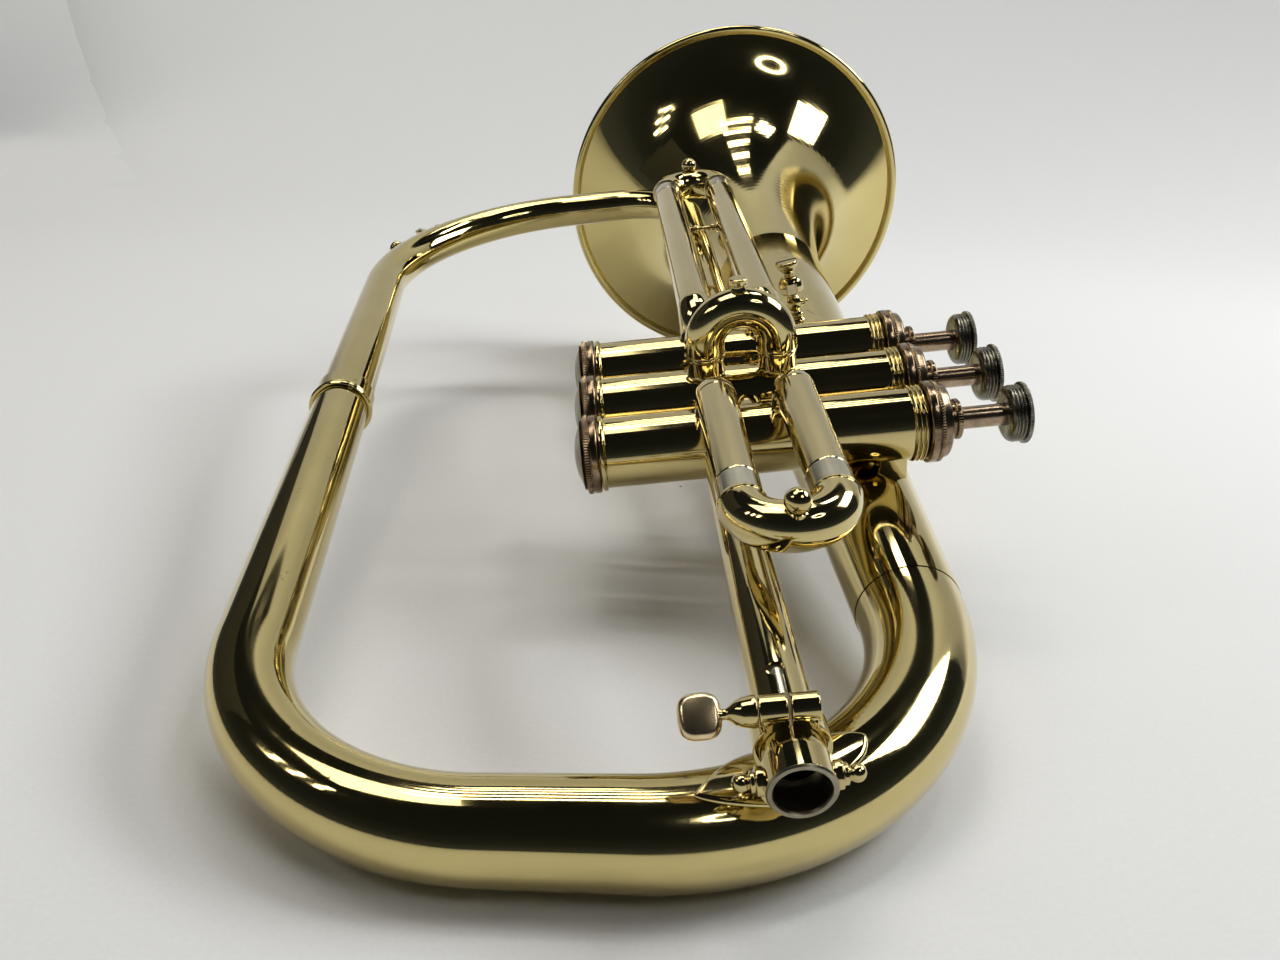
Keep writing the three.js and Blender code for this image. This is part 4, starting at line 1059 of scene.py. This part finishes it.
def build_second_slide():
    i, y = 1, VALVE_PITCH
    foot = tube_foot(i)
    for x, side in zip(SLIDE_XS, SIDE_NAMES):
        outline = [(foot, SLIDE_BORE), (foot, SLIDE_RADIUS), (SLIDE2_MOUTH - 0.15, SLIDE_RADIUS)]
        outline += [(SLIDE2_MOUTH, SLIDE_RADIUS - 0.15), (SLIDE2_MOUTH, SLIDE_BORE)]
        name = f"slide_2_sleeve_{side}"
        turned(f"{name}_tube", outline, "slide", OUT, (x, y, 0), 72, node=name)
        build_collar(f"{name}_collar", x, y, i)
    root = VALVE_Z + VALVE_RISE + CASING_RADIUS + GAP
    crest = SLIDE2_MOUTH + KNOB_LEAD + SLIDE_SPACING / 2
    build_bow(2, u_path((y, root), (y, crest)), ALONG, SLIDE2_MOUTH - root, GAP)
    top = crest + BOW_RADIUS
    knob = [(-0.4, 0), (-0.4, 2.2), (0.5, 1.7), (1.0, 1.6), (1.2, 2.35), (2.7, 2.35), (2.95, 2), (2.95, 0)]
    knob = rounded(shifted(top, knob), 0.2)
    turned("slide_2_knob", knob, "valve", OUT, (SLIDE_X, y, 0), body="slide_2", node="slide_2_pull")


def build_slide_brace():
    """A thin bar between the third slide's tubes, with a flange and a bead at each end."""
    half = SLIDE_SPACING / 2 - SLIDE_RADIUS + 0.1
    profile = [(half, 0), (half, 2.0), (half - 0.45, 1.9), (half - 0.8, 0.85)]
    bead = [(half - 1.9 + 1.15 * math.cos(a), 1.35 * math.sin(a)) for a in np.linspace(0.6, 2.5, 10)]
    profile += bead + [(0.6, 0.6), (0.0, 0.55)]
    outline = [(-x, r) for x, r in profile] + [(x, r) for x, r in reversed(profile[:-1])]
    at = (SLIDE_X, BRACE_Y, slide_z(2))
    turned("slide_3_brace_turned", outline, "valve", ACROSS, at, 48, node="slide_3_brace")


# ------------------------------------------------------------------ mouthpipe

PIPE = Path((PIPE_FRONT, PIPE_REAR), ())
PIPE_SLOPE = (PIPE_REAR[2] - PIPE_FRONT[2]) / (PIPE_REAR[1] - PIPE_FRONT[1])
CLAMP_X = PIPE_REAR[0] - 0.2


def pipe_z(y):
    return PIPE_FRONT[2] + (y - PIPE_FRONT[1]) * PIPE_SLOPE


def pipe_at(y):
    return PIPE.length * (y - PIPE_FRONT[1]) / (PIPE_REAR[1] - PIPE_FRONT[1])


def on_pipe(name, outline, look, node=None, sides=96):
    return piece(name, bent(lathe(outline, sides), PIPE), look, node=node)


def build_mouthpipe():
    end = PIPE.length - RECEIVER_LENGTH
    outline = [
        (-0.8, 3.9), (-0.8, 4.7), (30, 5.0), (60, PIPE_RADIUS), (end, PIPE_RADIUS), (end, PIPE_BORE),
        (60, PIPE_BORE), (30, 4.2),
    ]
    pipe = on_pipe("mouthpipe_tube", outline, "slide", "mouthpipe")
    hole = aimed(lathe(rod(0, 9, 1.75, 0.01), 48), OUT, (PIPE_FRONT[0], KEYHOLE_Y, pipe_z(KEYHOLE_Y)))
    low = (CLAMP_X - SLOT_HALF, CLAMP_Y - 2, pipe_z(KEYHOLE_Y) + 1)
    carve(pipe, hole, block(low, (CLAMP_X + SLOT_HALF, KEYHOLE_Y, CLEAR_Z), 0.02))
    liner = [(40, 4.0), (40, PIPE_BORE - 0.02), (end, PIPE_BORE - 0.02), (end, 4.0)]
    on_pipe("mouthpipe_liner", liner, "band", sides=64)

    mouth, bore, skin = PIPE.length - 0.08, RECEIVER_BORE, RECEIVER_RADIUS
    barrel = [(end, bore), (end, skin - 0.5), (end + 0.5, skin), (mouth - 0.3, skin)]
    barrel += [(mouth, skin - 0.25), (mouth, bore + 0.25), (mouth - 0.4, bore)]
    on_pipe("receiver_barrel", rounded(barrel, 0.2), "valve", "mouthpiece_receiver")
    rim = [(mouth - 0.5, skin - 0.02), (mouth - 0.32, skin + 0.02), (mouth + 0.02, skin - 0.24)]
    rim += [(mouth + 0.02, bore + 0.22), (mouth - 0.4, bore - 0.04)]
    rim += [(end - 12, bore - 0.1), (end - 12, bore), (mouth - 0.5, bore + 0.1)]
    on_pipe("receiver_lining", rim, "dull")


def build_clamp():
    at = pipe_at(CLAMP_Y)
    half = CLAMP_WIDTH / 2
    inner = PIPE_RADIUS + 0.03
    band = [(-half, inner), (-half, inner + 1.3), (half, inner + 1.3), (half, inner)]
    clamp = on_pipe("clamp_band", rounded(shifted(at, band)), "valve", "mouthpipe_clamp")
    low = (CLAMP_X - SPLIT_HALF, CLAMP_Y - 6, pipe_z(CLAMP_Y) + 3)
    carve(clamp, block(low, (CLAMP_X + SPLIT_HALF, CLAMP_Y + 6, CLEAR_Z), 0.02))
    for side, low, high in (("left", -LUG, -0.28), ("right", 0.28, LUG)):
        lug = rounded([(low, 0), (low, half), (high, half), (high, 0)], 0.3)
        barrel = aimed(lathe(lug), ACROSS, (CLAMP_X, CLAMP_Y, CLAMP_SCREW_Z))
        left, right = sorted((CLAMP_X + low * 0.9, CLAMP_X + high * 0.9))
        foot = (left, CLAMP_Y - half, pipe_z(CLAMP_Y) + 4.3)
        web = block(foot, (right, CLAMP_Y + half, CLAMP_SCREW_Z), 0.25)
        piece(f"clamp_lug_{side}", joined(barrel, web), "valve")


def wing_outline():
    """A rounded square paddle."""
    points = []
    for a in around(56):
        c, s = math.cos(a), math.sin(a)
        points.append((3.7 * math.copysign(abs(c) ** 0.66, c), 4.0 * math.copysign(abs(s) ** 0.66, s)))
    return points


def build_wing_screw():
    at = (CLAMP_X, CLAMP_Y, CLAMP_SCREW_Z)
    shaft = [(-12.0, 0), (-12.0, 1.3), (-11.3, 1.0), (-10.5, 0.9), (-9.9, 1.25), (-9.0, 2.0), (-7.8, 2.5)]
    shaft += [(-6.2, 2.76), (-LUG - 0.35, 2.8), (-LUG - 0.2, 2.6), (-LUG - 0.2, 0)]
    shaft = rounded(shaft, 0.25)
    points, faces = slab(wing_outline(), -1.4, 1.4, 1.1, 6)
    crown = np.clip(1 - (points[:, 0] ** 2 + points[:, 1] ** 2) / 16.0, 0, 1)
    points[:, 2] += (0.5 * crown - 0.3) * np.sign(points[:, 2])
    c, s = math.cos(WING_TILT), math.sin(WING_TILT)
    turn = np.array(((1, 0, 0), (0, c, -s), (0, s, c)))
    points = (points + np.array((-14.85, 0, 0))) @ turn.T + np.array(at)
    node = "clamp_wing_screw"
    turned("wing_screw_shaft", shaft, "valve", ACROSS, at, body="clamp_screw", node=node)
    piece("wing_screw_paddle", (points, faces), "paddle", "clamp_screw")


def foot_leaf(middle, spine, length, reach, thickness):
    """A thin leaf wrapped on the rear bow, round the place `middle` along it and the angle
    `spine` round it: `reach(u)` gives how far it goes to either side of its spine, in mm, at
    the share u of its length from -1 to 1."""

    def place(layer, u, v):
        u, v = math.sin(u * math.pi / 2), math.sin(v * math.pi / 2)
        at = middle + u * length
        here, ahead = LOOP.at(at)
        top = unit(OUT - ahead * (OUT @ ahead))
        side = np.cross(ahead, top)
        width = reach(u)[0 if v <= 0 else 1]
        edge = min(1.0, (1 - abs(v)) * max(width, 0.01) / 0.9, (1 - abs(u)) * length / 0.9)
        lift = thickness * math.sqrt(max(0.0, 1 - (1 - edge) ** 2)) if layer else -0.15
        a = spine + v * width / loop_radius(at)
        return here + (loop_radius(at) + lift) * (math.cos(a) * top + math.sin(a) * side)

    return thin_leaf(56, 20, place)


def foot_reach(u):
    """How far the bracket's foot reaches inwards and outwards from its spine."""
    if u < 0:
        return 13.0 * (1 + u) ** 0.8, 6.0 * (1 + u) ** 0.75
    return 4.0 + 9.0 * (1 - u) ** 2.2 - 4.0 * u**8, 2.6 + 3.4 * (1 - u) - 2.6 * u**8


def nearest_station(x, low, high):
    return min(np.linspace(low, high, 400), key=lambda s: abs(LOOP.at(s)[0][0] - x))


def build_bracket():
    """A cradle under the receiver, two finials, and a leaf-shaped foot on the rear bow."""
    inner = RECEIVER_RADIUS + 0.02
    hoop = [(-1.8, inner), (-1.8, inner + 1.0), (1.8, inner + 1.0), (1.8, inner)]
    hoop = rounded(shifted(pipe_at(BRACKET_Y), hoop))
    cradle = on_pipe("bracket_cradle", hoop, "valve", "mouthpipe_bracket")
    x, z = PIPE_REAR[0], pipe_z(BRACKET_Y)
    carve(cradle, block((x - 9, BRACKET_Y - 10, z + 0.8), (x + 9, BRACKET_Y + 10, z + 12), 0.02))
    finial = [(-0.3, 0), (-0.3, 2.45), (1.1, 2.5), (1.3, 1.85), (2.0, 1.9), (2.2, 1.15)]
    finial = shifted(inner, finial) + [p for p in ball(inner + 3.5, 1.58) if p[0] > inner + 2.4]
    finial = rounded(finial, 0.2)
    for side, axis in (("left", -ACROSS), ("right", ACROSS)):
        turned(f"bracket_finial_{side}", finial, "valve", axis, (x, BRACKET_Y, z - 0.7), 48)
    left = nearest_station(-56.0, LOOP.station(6), LOOP.station(8))
    right = nearest_station(-24.0, LOOP.station(6), LOOP.station(8))
    foot = foot_leaf((left + right) / 2, math.radians(10), (right - left) / 2, foot_reach, 0.75)
    piece("bracket_foot", foot, "valve")
    outline = []
    for a in around(32):
        outline.append((x + 2.2 * math.cos(a), BRACKET_Y + 4.0 + 2.2 * math.sin(a)))
    piece("bracket_post", slab(outline, 11.5, z - inner + 0.4, 0.5), "stem")


# ------------------------------------------------------------------ small fittings


def build_saddles():
    for n in (0, 2):
        y = n * VALVE_PITCH
        low = (3.0, y - 2.5, math.sqrt(bell_radius(y) ** 2 - 100) - 0.6)
        high = (10.0, y + 2.5, VALVE_Z + n * VALVE_RISE - 7.2)
        high = (high[0], high[1], max(high[2], low[2] + 1.0))
        piece(f"saddle_block_{n + 1}", block(low, high, 0.4), "valve", node=f"valve_saddle_{n + 1}")


def leaned(solid):
    """Leans a solid about the bell axis, as the lyre socket leans."""
    points, faces = solid
    c, s = math.cos(LYRE_LEAN), math.sin(LYRE_LEAN)
    turn = np.array(((c, 0, s), (0, 1, 0), (-s, 0, c)))
    return points @ turn.T, faces


def lyre_foot():
    """The diamond plate under the lyre socket, wrapped on the branch."""

    def place(layer, u, v):
        y = LYRE_Y + 12.5 * u
        radius = bell_radius(y)
        a = v * 8.5 * max(0.01, 1 - abs(u)) / radius
        edge = min(1.0, (1 - abs(v)) * 5, (1 - abs(u)) * 12)
        lift = 0.55 * math.sqrt(max(0.0, 1 - (1 - edge) ** 2)) if layer else -0.1
        return (radius + lift) * math.sin(a), y, (radius + lift) * math.cos(a)

    return thin_leaf(36, 12, place)


def build_lyre_socket():
    base = bell_radius(LYRE_Y)
    post = [(-0.6, 0), (-0.6, 3.0), (0.5, 2.7), (1.1, 1.9), (1.7, 2.5), (2.6, 2.5), (3.3, 1.5), (4.0, 1.7)]
    post += [(5.2, 2.3), (6.6, 2.5), (8.0, 2.0), (8.8, 1.3), (9.4, 1.6), (9.8, 3.3), (10.6, 3.85)]
    post += [(12.6, 3.95), (14.2, 3.3), (15.2, 2.2), (15.2, 0)]
    solid = lathe(rounded(shifted(base, post), 0.5, 4), 72)
    solid = leaned(aimed(solid, OUT, (0, LYRE_Y, 0)))
    socket = piece("lyre_post", solid, "valve", node="lyre_socket")
    bulb = base + 12
    carve(socket, leaned(block((-1.6, LYRE_Y - 6, bulb - 1.6), (1.6, LYRE_Y + 6, bulb + 1.6), 0.05)))
    pin = rounded([(1.5, 0), (1.5, 1.3), (3.4, 0.9), (4.6, 0.6), (4.6, 0)], 0.3)
    piece("lyre_pin", leaned(aimed(lathe(pin, 32), ACROSS, (0, LYRE_Y, base + 5.8))), "valve")
    piece("lyre_foot", leaned(lyre_foot()), "bell")

    screw = [(12.4, 0), (12.4, 1.0), (15.35, 1.0), (15.35, 1.7), (16.6, 1.6), (17.6, 2.3), (18.9, 3.35)]
    screw += [(19.9, 3.5), (20.6, 3.2), (20.7, 0)]
    solid = lathe(rounded(shifted(base, screw), 0.3, 4), 72)
    solid = leaned(aimed(solid, OUT, (0, LYRE_Y, 0)))
    head = piece("lyre_screw_turned", solid, "valve", "lyre_screw", "lyre_thumb_screw")
    carve(head, leaned(block((-4, LYRE_Y - 0.45, base + 19.9), (4, LYRE_Y + 0.45, base + 22), 0.02)))


def build_water_key():
    _, start, ahead, inward, radius = LOOP.parts[3]
    centre = start + inward * radius
    wall = loop_radius(LOOP.station(3, 0.6))
    reach = radius + wall
    c, s = math.cos(KEY_ANGLE), math.sin(KEY_ANGLE)
    spin = np.array(((c, -s, 0), (s, c, 0), (0, 0, 1)))

    def fitting(name, solid, look, part, body="horn"):
        points, faces = solid
        piece(name, (points @ spin.T + centre, faces), look, body, f"water_key_{part}")

    drain_y = -9.0
    drain_x = math.sqrt(reach**2 - drain_y**2)
    pivot = reach + KEY_LIFT
    nipple = rounded([(-0.9, 1.5), (-0.9, 3.2), (0.3, 2.7), (2.2, 2.6), (2.2, 1.5)], 0.2)
    fitting("drain_nipple", aimed(lathe(nipple, 48), ACROSS, (drain_x, drain_y, 0)), "valve", "nipple")
    cheeks = joined(
        block((reach - 0.6, -1.7, -3.6), (pivot + 1.6, 1.7, -2.2), 0.5),
        block((reach - 0.6, -1.7, 2.2), (pivot + 1.6, 1.7, 3.6), 0.5),
        block((reach - 0.9, -2.6, -3.6), (reach + 1.2, 2.6, 3.6), 0.5),
    )
    fitting("key_saddle", cheeks, "valve", "saddle")
    pin = aimed(lathe(rod(-4.2, 4.2, 0.75), 24), OUT, (pivot, 0, 0))
    fitting("key_pin", pin, "steel", "pin")
    cup = aimed(lathe(rod(drain_x + 4.0, drain_x + 6.0, 3.1, 0.6), 48), ACROSS, (0, drain_y, 0))
    arm = block((pivot - 1.1, drain_y, -1.4), (pivot + 1.1, 13, 1.4), 0.6)
    thumb = aimed(lathe(rod(pivot - 1.3, pivot + 0.9, 3.2, 0.8), 48), ACROSS, (0, 14, 0))
    fitting("key_lever", joined(cup, arm, thumb), "valve", "lever", "water_key")
    pad = aimed(lathe(rod(drain_x + 2.35, drain_x + 3.9, 2.7, 0.3), 48), ACROSS, (0, drain_y, 0))
    fitting("key_cork", pad, "cork", "cork", "water_key")


# ------------------------------------------------------------------ the scene

build_camera()
LOOKS = build_materials()
PAPER = paper_material()
build_paper(PAPER)
build_flag()
build_backdrop(PAPER)
build_world()
build_lights()
build_bell()
build_loop()
for valve in VALVES:
    build_casing(valve)
    build_caps(valve)
    build_piston(valve)
    build_button(valve)
    build_spring(valve)
build_valve_links()
build_long_slide(1, 0, -1, SLIDE1_MOUTH, SLIDE1_INSERT)
build_second_slide()
build_long_slide(3, 2, 1, SLIDE3_MOUTH, SLIDE3_INSERT)
build_slide_brace()
build_mouthpipe()
build_clamp()
build_wing_screw()
build_bracket()
build_saddles()
build_lyre_socket()
build_water_key()
